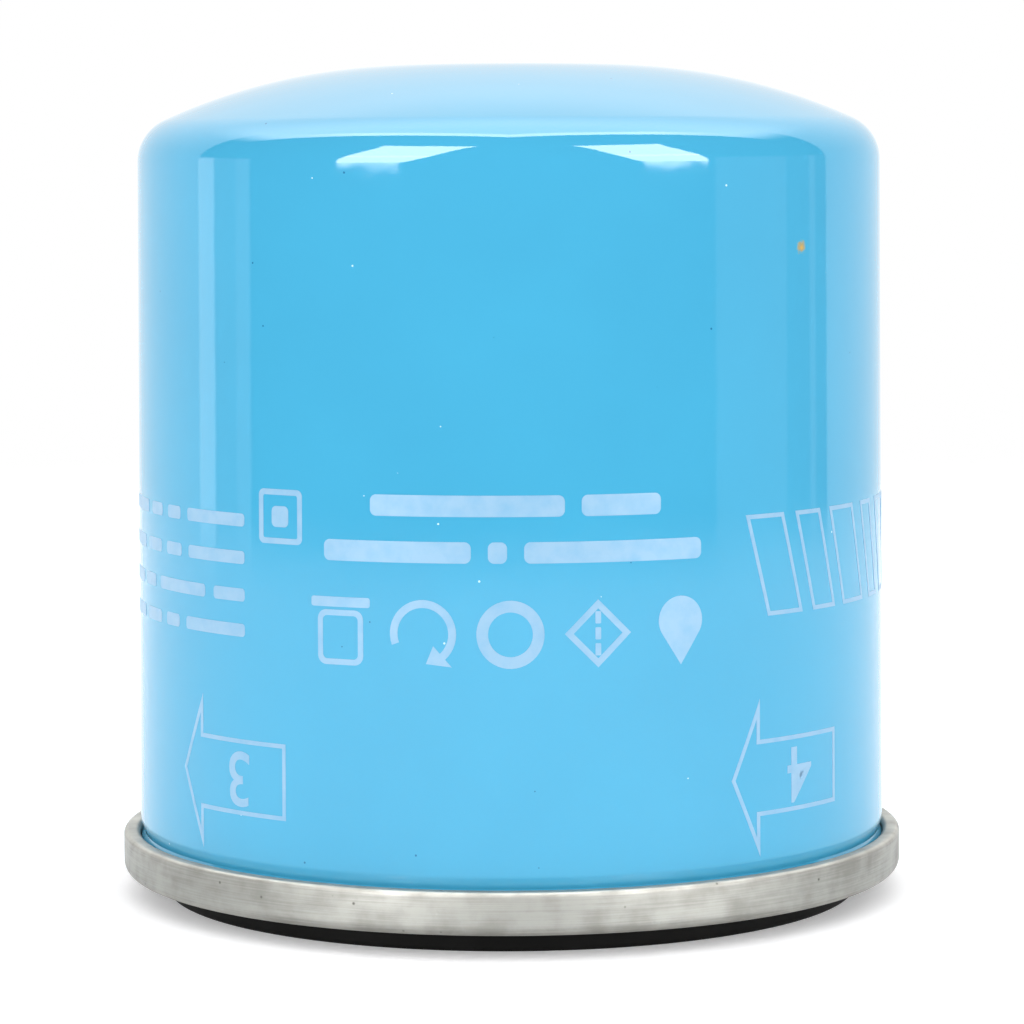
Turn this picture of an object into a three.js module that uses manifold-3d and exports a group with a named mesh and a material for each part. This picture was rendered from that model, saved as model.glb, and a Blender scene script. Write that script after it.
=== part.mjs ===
// Spin-on engine oil filter, standing on its sealing gasket with the closed end of the can up.
// Millimetres, +Z up. The origin is the centre of the gasket's sealing face, on the thread axis.
// Profiles are drawn as (radius, height) and turned about Z.
import * as THREE from "three";
import { mergeVertices } from "three/addons/utils/BufferGeometryUtils.js";
import Module from "manifold-3d";

const wasm = await Module();
wasm.setup();

const { sin, cos, PI, asin } = Math;

// ---- driving dimensions ----
const FIT_GAP = 0.1; // between pieces that rest on or locate each other

// can
const OVERALL_HEIGHT = 84; // gasket face to crown
const CAN_RADIUS = 38.1; // outside, just above the seam
const CAN_TAPER = 0.5; // radius lost from the seam up to the shoulder, by drawing
const CAN_WALL = 0.5;
const CROWN_FLAT_RADIUS = 10; // level middle of the crown
const CROWN_ARC_RADIUS = 60; // from the level middle down to the shoulder
const SHOULDER_RADIUS = 4.7; // outside fillet between crown and wall

// double seam and gasket channel
const LID_SHEET = 0.5;
const SEAM_GAP = 0.08; // between the rolled layers
const SEAM_BOTTOM = 2.25; // lower edge of the rolled seam, above the gasket face
const SEAM_HEIGHT = 4.25;
const HOOK_PLAY = 0.4; // from each hook's tip to the centre of the fold that it stands in
const LID_CORNER = 0.8; // bend radius at the middle of the lid's sheet
const CHANNEL_LIP_LEVEL = 2; // lowest point of the fold inside the gasket
const CHANNEL_FOLD_RADIUS = 0.55;

// gasket
const GASKET_WIDTH = 4.5;
const GASKET_HEIGHT = 5;
const GASKET_CHAMFER = 0.45;
const GASKET_TO_WALL = 1.52; // from the gasket out to the retainer's wall

// tapping plate
const THREAD_MINOR_RADIUS = 9.19; // M20 x 1.5
const THREAD_CHAMFER = 1.2;
const PLATE_THICKNESS = 3;
const PLATE_INSIDE_GASKET = 0.5; // plate radius less than the gasket's
const BOSS_DROP = 0.8; // the plate's middle is pressed down by this
const BOSS_SLOPE = 1.2; // radial run of the step round the boss
const HUB_WALL = 3.4;
const HUB_HEIGHT = 8.6; // thread length, from the boss face
const INLET_COUNT = 8;
const INLET_RADIUS = 3;
const INLET_TO_HUB = 2.4;
const INLET_TO_BOSS_EDGE = 1.5;
const FLANGE_TO_BOSS = 0.8; // from the boss step out to the retainer's inner edge

// anti-drain diaphragm
const VALVE_COLLAR_WALL = 1.5;
const VALVE_COLLAR_LENGTH = 4.4;
const VALVE_HEAD_HEIGHT = 2;
const VALVE_HEAD_PAST_HUB = 2.6;
const VALVE_MOUTH_PAST_THREAD = 1;
const VALVE_SKIRT = 1.4;
const VALVE_LIP_WIDTH = 1.7;

// element
const SPRING_SPACE = 11.5; // from the upper end cap up to the inside of the crown
const ELEMENT_TO_CAN = 5.3;
const CAP_SHEET = 0.4;
const CAP_RIM = 3.6;
const CAP_BEND = 0.8;
const OUTLET_PAST_THREAD = 2;
const POTTING_HEIGHT = 1.5;
const PAPER_TO_CAP = 0.9;
const PAPER_TO_TUBE = 1;
const PAPER = 0.5;
const PLEATS = 32;
const FOLD_SHARE = 0.25; // flat of an outer fold, as a share of the pleat pitch
const TUBE_WALL = 0.4;
const TUBE_HOLE_RADIUS = 2.1;
const TUBE_HOLES_ROUND = 6;
const TUBE_HOLE_ROWS = 5;
const CLIP_DEPTH = 5;
const CLIP_SHEET = 0.4;

// bypass valve
const BYPASS_OPENING = 6.5; // radius of the hole that the valve shuts
const SEAT_HEIGHT = 0.7;
const POPPET_OVERLAP = 2.1; // past the opening, all round
const POPPET_PLATE = 0.7;
const STEM_RADIUS = 1.5;
const STEM_CLEARANCE = 0.4;
const STEM_PAST_CAGE = 1;
const RIVET_RADIUS = 2.6;
const RIVET_HEIGHT = 0.8;
const WASHER_RADIUS = 4.4;
const WASHER_HEIGHT = 0.4;
const SEAL_HEIGHT = 1.2;
const CAGE_CLEARANCE = 1.8; // poppet to cage wall
const CAGE_SHEET = 0.4;
const CAGE_FLANGE = 2.1;
const CAGE_LENGTH = 17;
const CAGE_WINDOWS = 4;
const CAGE_WINDOW_WIDTH = 8;
const CAGE_TO_TUBE = 0.7;
const COIL_INSIDE_POPPET = 2.6;
const COIL_WIRE_RADIUS = 0.55;
const COIL_TURNS = 6;
const COIL_CLOSED_SHARE = 0.35; // how far the coil's ends close up, from 0 to 1

// four-armed spring between the element and the crown
const SPRING_SHEET = 0.8;
const SPRING_ARMS = 4;
const SPRING_ARM_WIDTH = 9;
const SPRING_HUB_INSIDE_CROWN_FLAT = 1;
const SPRING_HUB_WIDTH = 6;
const SPRING_FOOT_LENGTH = 2.5;
const SPRING_FOOT_INSET = 2.5; // from the foot's tip out to the bend of the end cap

// facets
const SHELL_SIDES = 32; // everything that nests with the can and the seam
const INNER_SIDES = 24;
const SMALL_SIDES = 16;
const HOLE_SIDES = 8;
const BEND_ANGLE = 45; // degrees between the facets of a bend
const CROWN_STEPS = 4;
const ARM_STEPS = 6;
const WIRE_SIDES = 5;
const WIRE_STEPS = 10; // along one turn of the coil

// ---- radii that follow: from the can inwards ----
const canTopRadius = CAN_RADIUS - CAN_TAPER;
const canMiddle = CAN_RADIUS - CAN_WALL / 2; // middle of the can's sheet at the seam
const coverHook = CAN_RADIUS + SEAM_GAP + LID_SHEET / 2;
const bodyHook = coverHook + LID_SHEET / 2 + SEAM_GAP + CAN_WALL / 2;
const seamWall = bodyHook + CAN_WALL / 2 + SEAM_GAP + LID_SHEET / 2;
const chuckWall = CAN_RADIUS - CAN_WALL - SEAM_GAP - LID_SHEET / 2;
const gasketOuter = chuckWall - LID_SHEET / 2 - GASKET_TO_WALL;
const gasketInner = gasketOuter - GASKET_WIDTH;
const plateRadius = gasketOuter - PLATE_INSIDE_GASKET;
const capRadius = canTopRadius - CAN_WALL - ELEMENT_TO_CAN;
const paperOuter = capRadius - CAP_SHEET - PAPER_TO_CAP;

// ---- radii that follow: from the thread outwards ----
const hubRadius = THREAD_MINOR_RADIUS + HUB_WALL;
const inletCircle = hubRadius + INLET_TO_HUB + INLET_RADIUS;
const bossRadius = inletCircle + INLET_RADIUS + INLET_TO_BOSS_EDGE;
const retainerInner = bossRadius + BOSS_SLOPE + FLANGE_TO_BOSS;
const valveLip = bossRadius + 2 * BOSS_SLOPE + 3 * FIT_GAP + VALVE_LIP_WIDTH;

// ---- radii that follow: from the bypass opening outwards ----
const poppetRadius = BYPASS_OPENING + POPPET_OVERLAP;
const cageRadius = poppetRadius + CAGE_CLEARANCE + CAGE_SHEET;
const seatRadius = cageRadius + CAGE_FLANGE;
const tubeInner = seatRadius + CAGE_TO_TUBE;
const tubeRadius = tubeInner + TUBE_WALL;
const paperInner = tubeRadius + PAPER_TO_TUBE;

// ---- levels that follow: from the gasket upwards ----
const seamTop = SEAM_BOTTOM + SEAM_HEIGHT;
const bodyFold = (bodyHook - canMiddle) / 2;
const bodyFoldLevel = SEAM_BOTTOM + LID_SHEET + SEAM_GAP + CAN_WALL / 2 + bodyFold;
const coverFold = (seamWall - coverHook) / 2;
const coverFoldLevel = seamTop - LID_SHEET / 2 - coverFold;
const bodyHookTip = coverFoldLevel - HOOK_PLAY;
const coverHookTip = bodyFoldLevel + HOOK_PLAY;
const panelLevel = GASKET_HEIGHT + FIT_GAP + LID_SHEET / 2; // middle of the retainer's panel
const plateUnder = panelLevel + LID_SHEET / 2 + FIT_GAP;
const plateTop = plateUnder + PLATE_THICKNESS;
const bossUnder = plateUnder - BOSS_DROP;
const bossTop = plateTop - BOSS_DROP;
const hubTop = bossUnder + HUB_HEIGHT;
const valveHead = hubTop + FIT_GAP;
const lowerCap = valveHead + VALVE_HEAD_HEIGHT + FIT_GAP; // underside of the lower end cap
const lowerPotting = lowerCap + CAP_SHEET + FIT_GAP;
const paperBottom = lowerPotting + POTTING_HEIGHT + FIT_GAP;

// ---- levels that follow: from the crown downwards ----
const crownInside = OVERALL_HEIGHT - CAN_WALL;
const upperCapTop = crownInside - SPRING_SPACE;
const upperCap = upperCapTop - CAP_SHEET; // underside of the upper end cap
const upperPotting = upperCap - FIT_GAP - POTTING_HEIGHT;
const paperTop = upperPotting - FIT_GAP;
const paperHeight = paperTop - paperBottom;
const seatUnder = upperCap - FIT_GAP - SEAT_HEIGHT;
const cageTop = seatUnder - FIT_GAP;
const cageFloor = cageTop - CAGE_LENGTH; // underside of the cage
const sealTop = seatUnder - FIT_GAP / 2;
const poppetTop = sealTop - SEAL_HEIGHT - FIT_GAP / 2;
const poppetUnder = poppetTop - POPPET_PLATE;
const washerUnder = sealTop + FIT_GAP / 2;
const rivetUnder = washerUnder + WASHER_HEIGHT + FIT_GAP / 2;

// ---- profiles ----
const at = (radius, height) => new THREE.Vector2(radius, height);

/** Points on an arc about (radius, height), from one angle to another, in degrees. */
function bend(radius, height, size, from, to, fewest = 1) {
  const steps = Math.max(fewest, Math.ceil(Math.abs(to - from) / BEND_ANGLE));
  const points = [];
  for (let i = 0; i <= steps; i++) {
    const a = ((from + ((to - from) * i) / steps) * PI) / 180;
    points.push(at(radius + size * cos(a), height + size * sin(a)));
  }
  return points;
}

/** The closed outline of a sheet whose middle follows a path, with mitred corners. */
function sheet(path, thickness) {
  const side = (sign) =>
    path.map((p, i) => {
      const into = p.clone().sub(path[Math.max(i - 1, 0)]);
      const out = path[Math.min(i + 1, path.length - 1)].clone().sub(p);
      if (i === 0) into.copy(out);
      if (i === path.length - 1) out.copy(into);
      into.normalize();
      out.normalize();
      const along = into.clone().add(out).normalize();
      const reach = thickness / 2 / along.dot(into);
      return at(p.x - sign * along.y * reach, p.y + sign * along.x * reach);
    });
  return [...side(1), ...side(-1).reverse()];
}

/** A closed outline turned about Z, facing out whichever way it was drawn. */
function turned(outline, sides) {
  const points = THREE.ShapeUtils.area(outline) > 0 ? [...outline] : [...outline].reverse();
  const onAxis = points[0].x === 0 && points.at(-1).x === 0;
  if (!onAxis) points.push(points[0].clone());
  return new THREE.LatheGeometry(points, sides).rotateX(PI / 2);
}

const ring = (inner, outer, low, high, sides) =>
  turned([at(inner, low), at(outer, low), at(outer, high), at(inner, high)], sides);

/** A sheet standing on a level: its outline in plan, and how tall it is. */
const upright = (path, thickness, low, height) =>
  new THREE.ExtrudeGeometry(new THREE.Shape(sheet(path, thickness)), {
    depth: height,
    bevelEnabled: false,
  }).translate(0, 0, low);

// ---- cutting and joining ----
function solidOf(geometry) {
  const bare = geometry.clone();
  bare.deleteAttribute("normal");
  bare.deleteAttribute("uv");
  const merged = mergeVertices(bare, 1e-4);
  return new wasm.Manifold(
    new wasm.Mesh({
      numProp: 3,
      vertProperties: merged.attributes.position.array,
      triVerts: new Uint32Array(merged.index.array),
    }),
  );
}

function geometryOf(solid) {
  const mesh = solid.getMesh();
  return new THREE.BufferGeometry()
    .setAttribute("position", new THREE.BufferAttribute(mesh.vertProperties, 3))
    .setIndex(new THREE.BufferAttribute(mesh.triVerts, 1));
}

const without = (geometry, cuts) =>
  geometryOf(cuts.reduce((left, cut) => left.subtract(solidOf(cut)), solidOf(geometry)));

const joined = (geometries) =>
  geometryOf(geometries.map(solidOf).reduce((sum, solid) => sum.add(solid)));

// ---- materials ----
const finish = (color, roughness, metalness) =>
  new THREE.MeshStandardMaterial({ color, roughness, metalness });

const enamel = finish(0x43aee6, 0.2, 0);
const zincSteel = finish(0xb4b3ae, 0.45, 0.9);
const bareSteel = finish(0x8f9194, 0.4, 0.9);
const springSteel = finish(0x6f7276, 0.35, 0.95);
const nitrile = finish(0x1c1c1b, 0.7, 0);
const silicone = finish(0x9c3f25, 0.6, 0);
const resinPaper = finish(0xd9b46a, 0.9, 0);
const plastisol = finish(0xb9482f, 0.6, 0);
const seamSealant = finish(0xcbbf9a, 0.6, 0);

// ---- the can: one drawn sheet from the crown to the body hook inside the seam ----
function canGeometry() {
  const half = CAN_WALL / 2;
  const arcCentre = OVERALL_HEIGHT - CROWN_ARC_RADIUS;
  const filletCentre = canTopRadius - SHOULDER_RADIUS;
  const centres = CROWN_ARC_RADIUS - SHOULDER_RADIUS; // between the two arcs' centres
  const lean = asin((filletCentre - CROWN_FLAT_RADIUS) / centres);
  const filletLevel = arcCentre + centres * cos(lean);
  const tangent = 90 - (lean * 180) / PI;
  const crown = bend(CROWN_FLAT_RADIUS, arcCentre, CROWN_ARC_RADIUS - half, 90, tangent, CROWN_STEPS);
  const shoulder = bend(filletCentre, filletLevel, SHOULDER_RADIUS - half, tangent, 0, CROWN_STEPS);
  const path = [
    at(0, OVERALL_HEIGHT - half),
    ...crown,
    ...shoulder.slice(1),
    at(canMiddle, seamTop),
    ...bend(canMiddle + bodyFold, bodyFoldLevel, bodyFold, 180, 360),
    at(bodyHook, bodyHookTip),
  ];
  return turned(sheet(path, CAN_WALL), SHELL_SIDES);
}

// ---- the retainer: seaming lid, gasket channel and weld flange, one pressed sheet ----
function retainerGeometry() {
  const corner = CHANNEL_FOLD_RADIUS;
  const channelWall = gasketInner - FIT_GAP - LID_SHEET / 2;
  const foldCentre = channelWall - corner;
  const foldLevel = CHANNEL_LIP_LEVEL + LID_SHEET / 2 + corner;
  const flangeWall = foldCentre - corner;
  const seamFloor = SEAM_BOTTOM + LID_SHEET / 2 + LID_CORNER;
  const path = [
    at(coverHook, coverHookTip),
    ...bend(coverHook + coverFold, coverFoldLevel, coverFold, 180, 0),
    ...bend(seamWall - LID_CORNER, seamFloor, LID_CORNER, 0, -90),
    ...bend(chuckWall + LID_CORNER, seamFloor, LID_CORNER, -90, -180),
    ...bend(chuckWall - corner, panelLevel - corner, corner, 0, 90),
    ...bend(channelWall + corner, panelLevel - corner, corner, 90, 180),
    ...bend(foldCentre, foldLevel, corner, 0, -180),
    ...bend(flangeWall - corner, panelLevel - corner, corner, 0, 90),
    at(retainerInner, panelLevel),
  ];
  return turned(sheet(path, LID_SHEET), SHELL_SIDES);
}

// ---- sealing compound in the pocket past the end of the body hook ----
function sealantGeometry() {
  const half = CAN_WALL / 2 - SEAM_GAP / 2;
  const high = coverFoldLevel + SEAM_GAP;
  return ring(bodyHook - half, bodyHook + half, bodyHookTip + SEAM_GAP, high, SHELL_SIDES);
}

// ---- the gasket: square section with its four edges broken ----
function gasketGeometry() {
  const c = GASKET_CHAMFER;
  const outline = [
    at(gasketInner + c, 0),
    at(gasketOuter - c, 0),
    at(gasketOuter, c),
    at(gasketOuter, GASKET_HEIGHT - c),
    at(gasketOuter - c, GASKET_HEIGHT),
    at(gasketInner + c, GASKET_HEIGHT),
    at(gasketInner, GASKET_HEIGHT - c),
    at(gasketInner, c),
  ];
  return turned(outline, SHELL_SIDES);
}

// ---- the tapping plate: thick plate with a drawn threaded hub and a ring of inlet holes ----
function tappingPlateGeometry() {
  const outline = [
    at(THREAD_MINOR_RADIUS + THREAD_CHAMFER, bossUnder),
    at(bossRadius, bossUnder),
    at(bossRadius + BOSS_SLOPE, plateUnder),
    at(plateRadius, plateUnder),
    at(plateRadius, plateTop),
    at(bossRadius + 2 * BOSS_SLOPE, plateTop),
    at(bossRadius + BOSS_SLOPE, bossTop),
    at(hubRadius + BOSS_SLOPE, bossTop),
    at(hubRadius, bossTop + BOSS_SLOPE),
    at(hubRadius, hubTop),
    at(THREAD_MINOR_RADIUS, hubTop),
    at(THREAD_MINOR_RADIUS, bossUnder + THREAD_CHAMFER),
  ];
  const inlets = [];
  for (let i = 0; i < INLET_COUNT; i++) {
    const turn = (2 * PI * i) / INLET_COUNT;
    const depth = 4 * PLATE_THICKNESS;
    const hole = new THREE.CylinderGeometry(INLET_RADIUS, INLET_RADIUS, depth, HOLE_SIDES);
    hole.rotateX(PI / 2);
    hole.translate(inletCircle * cos(turn), inletCircle * sin(turn), bossUnder);
    inlets.push(hole);
  }
  return without(turned(outline, SHELL_SIDES), inlets);
}

// ---- the anti-drain diaphragm: a rubber head and collar on the hub, a skirt over the inlets ----
function antiDrainGeometry() {
  const mouth = THREAD_MINOR_RADIUS + VALVE_MOUTH_PAST_THREAD;
  const head = hubRadius + VALVE_HEAD_PAST_HUB;
  const collarInner = hubRadius + 2 * FIT_GAP;
  const collarOuter = collarInner + VALVE_COLLAR_WALL;
  const collarLow = hubTop - VALVE_COLLAR_LENGTH;
  const skirtRoot = hubTop - VALVE_SKIRT;
  const skirtUnder = skirtRoot - VALVE_SKIRT;
  const lipLevel = plateTop + FIT_GAP;
  const lipInner = valveLip - VALVE_LIP_WIDTH;
  const knee = lipInner - 2 * VALVE_SKIRT; // where the skirt starts to turn down
  const outline = [
    at(mouth, valveHead),
    at(collarInner, valveHead),
    at(collarInner, collarLow),
    at(collarOuter, collarLow),
    at(collarOuter, skirtUnder),
    at(knee, skirtUnder - VALVE_SKIRT / 3),
    at(lipInner, lipLevel),
    at(valveLip - FIT_GAP, lipLevel),
    at(valveLip, lipLevel + 4 * FIT_GAP),
    at(knee + VALVE_SKIRT, skirtUnder + VALVE_SKIRT / 2),
    at(head, skirtRoot),
    at(head, valveHead + VALVE_HEAD_HEIGHT),
    at(mouth, valveHead + VALVE_HEAD_HEIGHT),
  ];
  return turned(outline, INNER_SIDES);
}

// ---- the element: two end caps, potting, pleated paper, its seam clip and the centre tube ----
/** An end cap with its flat's underside at a level, and its rim turned up (1) or down (-1). */
function endCapGeometry(level, way, hole) {
  const middle = level + CAP_SHEET / 2;
  const wall = capRadius - CAP_SHEET / 2;
  const corner = bend(wall - CAP_BEND, middle + way * CAP_BEND, CAP_BEND, -90 * way, 0);
  const path = [at(hole, middle), ...corner, at(wall, middle + way * CAP_RIM)];
  return turned(sheet(path, CAP_SHEET), INNER_SIDES);
}

function pottingGeometry(level) {
  const outer = capRadius - CAP_SHEET - CAP_BEND;
  return ring(tubeRadius + 2 * FIT_GAP, outer, level, level + POTTING_HEIGHT, INNER_SIDES);
}

/** The pleats as one strip folded to and fro, whose two ends meet under the clip. */
function paperGeometry() {
  const pitch = (2 * PI) / PLEATS;
  const spot = (radius, turn) => at(radius * cos(turn), radius * sin(turn));
  const outerHalf = (FOLD_SHARE * pitch) / 2;
  const innerHalf = FOLD_SHARE * pitch;
  const path = [spot(paperOuter, outerHalf)];
  for (let i = 0; i < PLEATS; i++) {
    const inner = (i + 0.5) * pitch;
    path.push(spot(paperInner, inner - innerHalf), spot(paperInner, inner + innerHalf));
    const outer = (i + 1) * pitch;
    path.push(spot(paperOuter, outer - outerHalf));
    if (i < PLEATS - 1) path.push(spot(paperOuter, outer + outerHalf));
  }
  return upright(path, PAPER, paperBottom, paperHeight);
}

/** A channel crimped over the two ends of the paper. */
function clipGeometry() {
  const half = (paperOuter * PI * FOLD_SHARE) / PLEATS + PAPER / 2 + FIT_GAP + CLIP_SHEET / 2;
  const back = paperOuter + FIT_GAP + CLIP_SHEET / 2;
  const front = back - CLIP_DEPTH;
  const path = [at(front, half), at(back, half), at(back, -half), at(front, -half)];
  return upright(path, CLIP_SHEET, paperBottom, paperHeight);
}

function centreTubeGeometry() {
  const low = lowerCap + CAP_SHEET + FIT_GAP;
  const shell = ring(tubeInner, tubeRadius, low, upperCap - FIT_GAP, INNER_SIDES);
  const holes = [];
  const pairs = TUBE_HOLES_ROUND / 2; // one drill goes through both walls
  for (let row = 0; row < TUBE_HOLE_ROWS; row++) {
    for (let i = 0; i < pairs; i++) {
      const r = TUBE_HOLE_RADIUS;
      const drill = new THREE.CylinderGeometry(r, r, 3 * tubeRadius, HOLE_SIDES);
      drill.rotateZ(PI / 2 + (PI * (i + (row % 2) / 2)) / pairs);
      drill.translate(0, 0, paperBottom + (paperHeight * (row + 0.5)) / TUBE_HOLE_ROWS);
      holes.push(drill);
    }
  }
  return without(shell, holes);
}

// ---- the bypass valve under the upper end cap ----
function cageGeometry() {
  const flange = cageTop - CAGE_SHEET / 2;
  const floor = cageFloor + CAGE_SHEET / 2;
  const wall = cageRadius - CAGE_SHEET / 2;
  const stemHole = STEM_RADIUS + STEM_CLEARANCE;
  const path = [at(seatRadius, flange), at(wall, flange), at(wall, floor), at(stemHole, floor)];
  const windows = [];
  for (let i = 0; i < CAGE_WINDOWS / 2; i++) {
    const window = new THREE.BoxGeometry(3 * cageRadius, CAGE_WINDOW_WIDTH, CAGE_LENGTH / 2);
    window.rotateZ((2 * PI * i) / CAGE_WINDOWS);
    window.translate(0, 0, (cageTop + cageFloor) / 2);
    windows.push(window);
  }
  return without(turned(sheet(path, CAGE_SHEET), SMALL_SIDES), windows);
}

/** Plate, guide stem and the rivet head that holds the washer and the rubber disc. */
function poppetGeometry() {
  const outline = [
    at(0, cageFloor - STEM_PAST_CAGE),
    at(STEM_RADIUS, cageFloor - STEM_PAST_CAGE),
    at(STEM_RADIUS, poppetUnder),
    at(poppetRadius, poppetUnder),
    at(poppetRadius, poppetTop),
    at(STEM_RADIUS, poppetTop),
    at(STEM_RADIUS, rivetUnder),
    at(RIVET_RADIUS, rivetUnder),
    at(RIVET_RADIUS - RIVET_HEIGHT / 2, rivetUnder + RIVET_HEIGHT),
    at(0, rivetUnder + RIVET_HEIGHT),
  ];
  return turned(outline, SMALL_SIDES);
}

const discGeometry = (outer, low, high) =>
  ring(STEM_RADIUS + FIT_GAP, outer, low, high, SMALL_SIDES);

/** A coil whose end turns lie closer than its middle ones. */
class CoilLine extends THREE.Curve {
  constructor(radius, low, high) {
    super();
    Object.assign(this, { radius, low, high });
  }
  getPoint(t, target = new THREE.Vector3()) {
    const turn = 2 * PI * COIL_TURNS * t;
    const eased = t * t * (3 - 2 * t);
    const share = COIL_CLOSED_SHARE * eased + (1 - COIL_CLOSED_SHARE) * t;
    const height = this.low + (this.high - this.low) * share;
    return target.set(this.radius * cos(turn), this.radius * sin(turn), height);
  }
}

function coilGeometry() {
  const section = [];
  for (let i = 0; i < WIRE_SIDES; i++) {
    const a = (2 * PI * i) / WIRE_SIDES;
    section.push(at(COIL_WIRE_RADIUS * cos(a), COIL_WIRE_RADIUS * sin(a)));
  }
  const inset = COIL_WIRE_RADIUS + FIT_GAP;
  const low = cageFloor + CAGE_SHEET + inset;
  const line = new CoilLine(poppetRadius - COIL_INSIDE_POPPET, low, poppetUnder - inset);
  return new THREE.ExtrudeGeometry(new THREE.Shape(section), {
    steps: COIL_TURNS * WIRE_STEPS,
    extrudePath: line,
    bevelEnabled: false,
  });
}

// ---- the spring that holds the element down, between its upper cap and the crown ----
function pressureSpringGeometry() {
  const half = SPRING_SHEET / 2;
  const hub = CROWN_FLAT_RADIUS - SPRING_HUB_INSIDE_CROWN_FLAT;
  const top = crownInside - FIT_GAP - half;
  const foot = upperCapTop + FIT_GAP + half;
  const footRadius = capRadius - CAP_BEND - SPRING_FOOT_INSET - SPRING_FOOT_LENGTH;
  const drop = top - foot;
  const reach = footRadius - hub;
  const sweep = new THREE.CubicBezierCurve(
    at(hub, top),
    at(hub + reach / 3, top - drop / 8),
    at(footRadius - reach / 3, foot + drop / 6),
    at(footRadius, foot),
  );
  const path = [
    at(hub - SPRING_HUB_WIDTH / 2, top),
    ...sweep.getPoints(ARM_STEPS),
    at(footRadius + SPRING_FOOT_LENGTH, foot + half),
  ];
  const parts = [ring(hub - SPRING_HUB_WIDTH, hub, top - half, top + half, INNER_SIDES)];
  for (let i = 0; i < SPRING_ARMS; i++) {
    const arm = upright(path, SPRING_SHEET, -SPRING_ARM_WIDTH / 2, SPRING_ARM_WIDTH);
    parts.push(arm.rotateX(PI / 2).rotateZ((2 * PI * (i + 0.5)) / SPRING_ARMS));
  }
  return joined(parts);
}

// ---- assembly ----
const filter = new THREE.Group();

function piece(name, geometry, material) {
  const mesh = new THREE.Mesh(geometry, material);
  mesh.name = name;
  filter.add(mesh);
}

piece("can", canGeometry(), enamel);
piece("gasket_retainer", retainerGeometry(), zincSteel);
piece("seam_sealant", sealantGeometry(), seamSealant);
piece("gasket", gasketGeometry(), nitrile);
piece("tapping_plate", tappingPlateGeometry(), bareSteel);
piece("anti_drain_valve", antiDrainGeometry(), silicone);

const outlet = THREAD_MINOR_RADIUS + OUTLET_PAST_THREAD;
piece("lower_end_cap", endCapGeometry(lowerCap, 1, outlet), zincSteel);
piece("upper_end_cap", endCapGeometry(upperCap, -1, BYPASS_OPENING), zincSteel);
piece("lower_potting", pottingGeometry(lowerPotting), plastisol);
piece("upper_potting", pottingGeometry(upperPotting), plastisol);
piece("pleated_paper", paperGeometry(), resinPaper);
piece("paper_seam_clip", clipGeometry(), zincSteel);
piece("centre_tube", centreTubeGeometry(), zincSteel);

const seat = ring(BYPASS_OPENING, seatRadius, seatUnder, seatUnder + SEAT_HEIGHT, INNER_SIDES);
piece("bypass_seat", seat, bareSteel);
piece("bypass_cage", cageGeometry(), bareSteel);
piece("bypass_poppet", poppetGeometry(), bareSteel);
piece("bypass_seal", discGeometry(poppetRadius - FIT_GAP, sealTop - SEAL_HEIGHT, sealTop), nitrile);
piece("bypass_washer", discGeometry(WASHER_RADIUS, washerUnder, washerUnder + WASHER_HEIGHT), zincSteel);
piece("bypass_spring", coilGeometry(), springSteel);
piece("pressure_spring", pressureSpringGeometry(), springSteel);

export default filter;
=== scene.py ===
"""Spin-on engine oil filter: the finished look of every piece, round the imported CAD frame.

Every length in the classes below is in millimetres, in the CAD's own frame: +Z up, with the
origin on the thread axis at the gasket's sealing face. A profile is a list of (radius, height)
points that is turned about Z. A bearing is an angle about Z in degrees, measured from the side
that faces -Y and growing towards +X.
"""

import logging
import math
from collections.abc import Callable, Iterable
from dataclasses import dataclass
from enum import Enum

import bmesh
import bpy
from mathutils import Euler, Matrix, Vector


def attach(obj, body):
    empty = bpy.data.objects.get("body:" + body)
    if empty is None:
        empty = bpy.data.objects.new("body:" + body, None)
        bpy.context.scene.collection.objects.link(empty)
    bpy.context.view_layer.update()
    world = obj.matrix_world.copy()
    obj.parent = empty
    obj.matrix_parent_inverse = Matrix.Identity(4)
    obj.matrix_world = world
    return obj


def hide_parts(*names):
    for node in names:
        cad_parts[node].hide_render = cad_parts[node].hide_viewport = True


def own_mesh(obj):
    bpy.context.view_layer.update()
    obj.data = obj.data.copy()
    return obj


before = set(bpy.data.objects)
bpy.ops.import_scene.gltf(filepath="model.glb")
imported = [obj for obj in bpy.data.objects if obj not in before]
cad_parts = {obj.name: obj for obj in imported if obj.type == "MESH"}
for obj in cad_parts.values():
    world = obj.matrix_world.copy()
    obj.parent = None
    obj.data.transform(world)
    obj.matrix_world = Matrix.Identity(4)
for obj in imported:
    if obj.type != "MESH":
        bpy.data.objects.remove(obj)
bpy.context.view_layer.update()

LOG = logging.getLogger("oil_filter")
MM = 0.001
SHARP = 32.0  # edges that bend by more than this many degrees stay crisp

Point = tuple[float, float]
Outline = list[Point]
Colour = tuple[float, float, float, float]
Shape = Callable[[float, float, float], float]
Bend = Callable[[float, float, float], Vector]
Tree = bpy.types.NodeTree
Node = bpy.types.Node
Socket = bpy.types.NodeSocket
Inputs = dict[int | str, object]
Level = Socket | float
Step = tuple[str | float, ...]


class Body(Enum):
    """The CAD bodies that pieces ride on."""

    ROOT = "root"
    ELEMENT = "element"
    POPPET = "poppet"


class Slot(Enum):
    """The record's material slots."""

    BLUE_ENAMEL = "blue_enamel"
    ZINC_STEEL = "zinc_steel"
    BARE_STEEL = "bare_steel"
    SPRING_STEEL = "spring_steel"
    NITRILE = "nitrile"
    SILICONE = "silicone"
    RESIN_PAPER = "resin_paper"
    PLASTISOL = "plastisol"
    SEAM_SEALANT = "seam_sealant"


# ---- profiles ----
FILLET_STEP = 12.0  # degrees between the points of a fillet
MITRE_LIMIT = 0.3  # keeps the corner of a very sharp bend from reaching far out
INSET_LIMIT = 0.12


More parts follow.
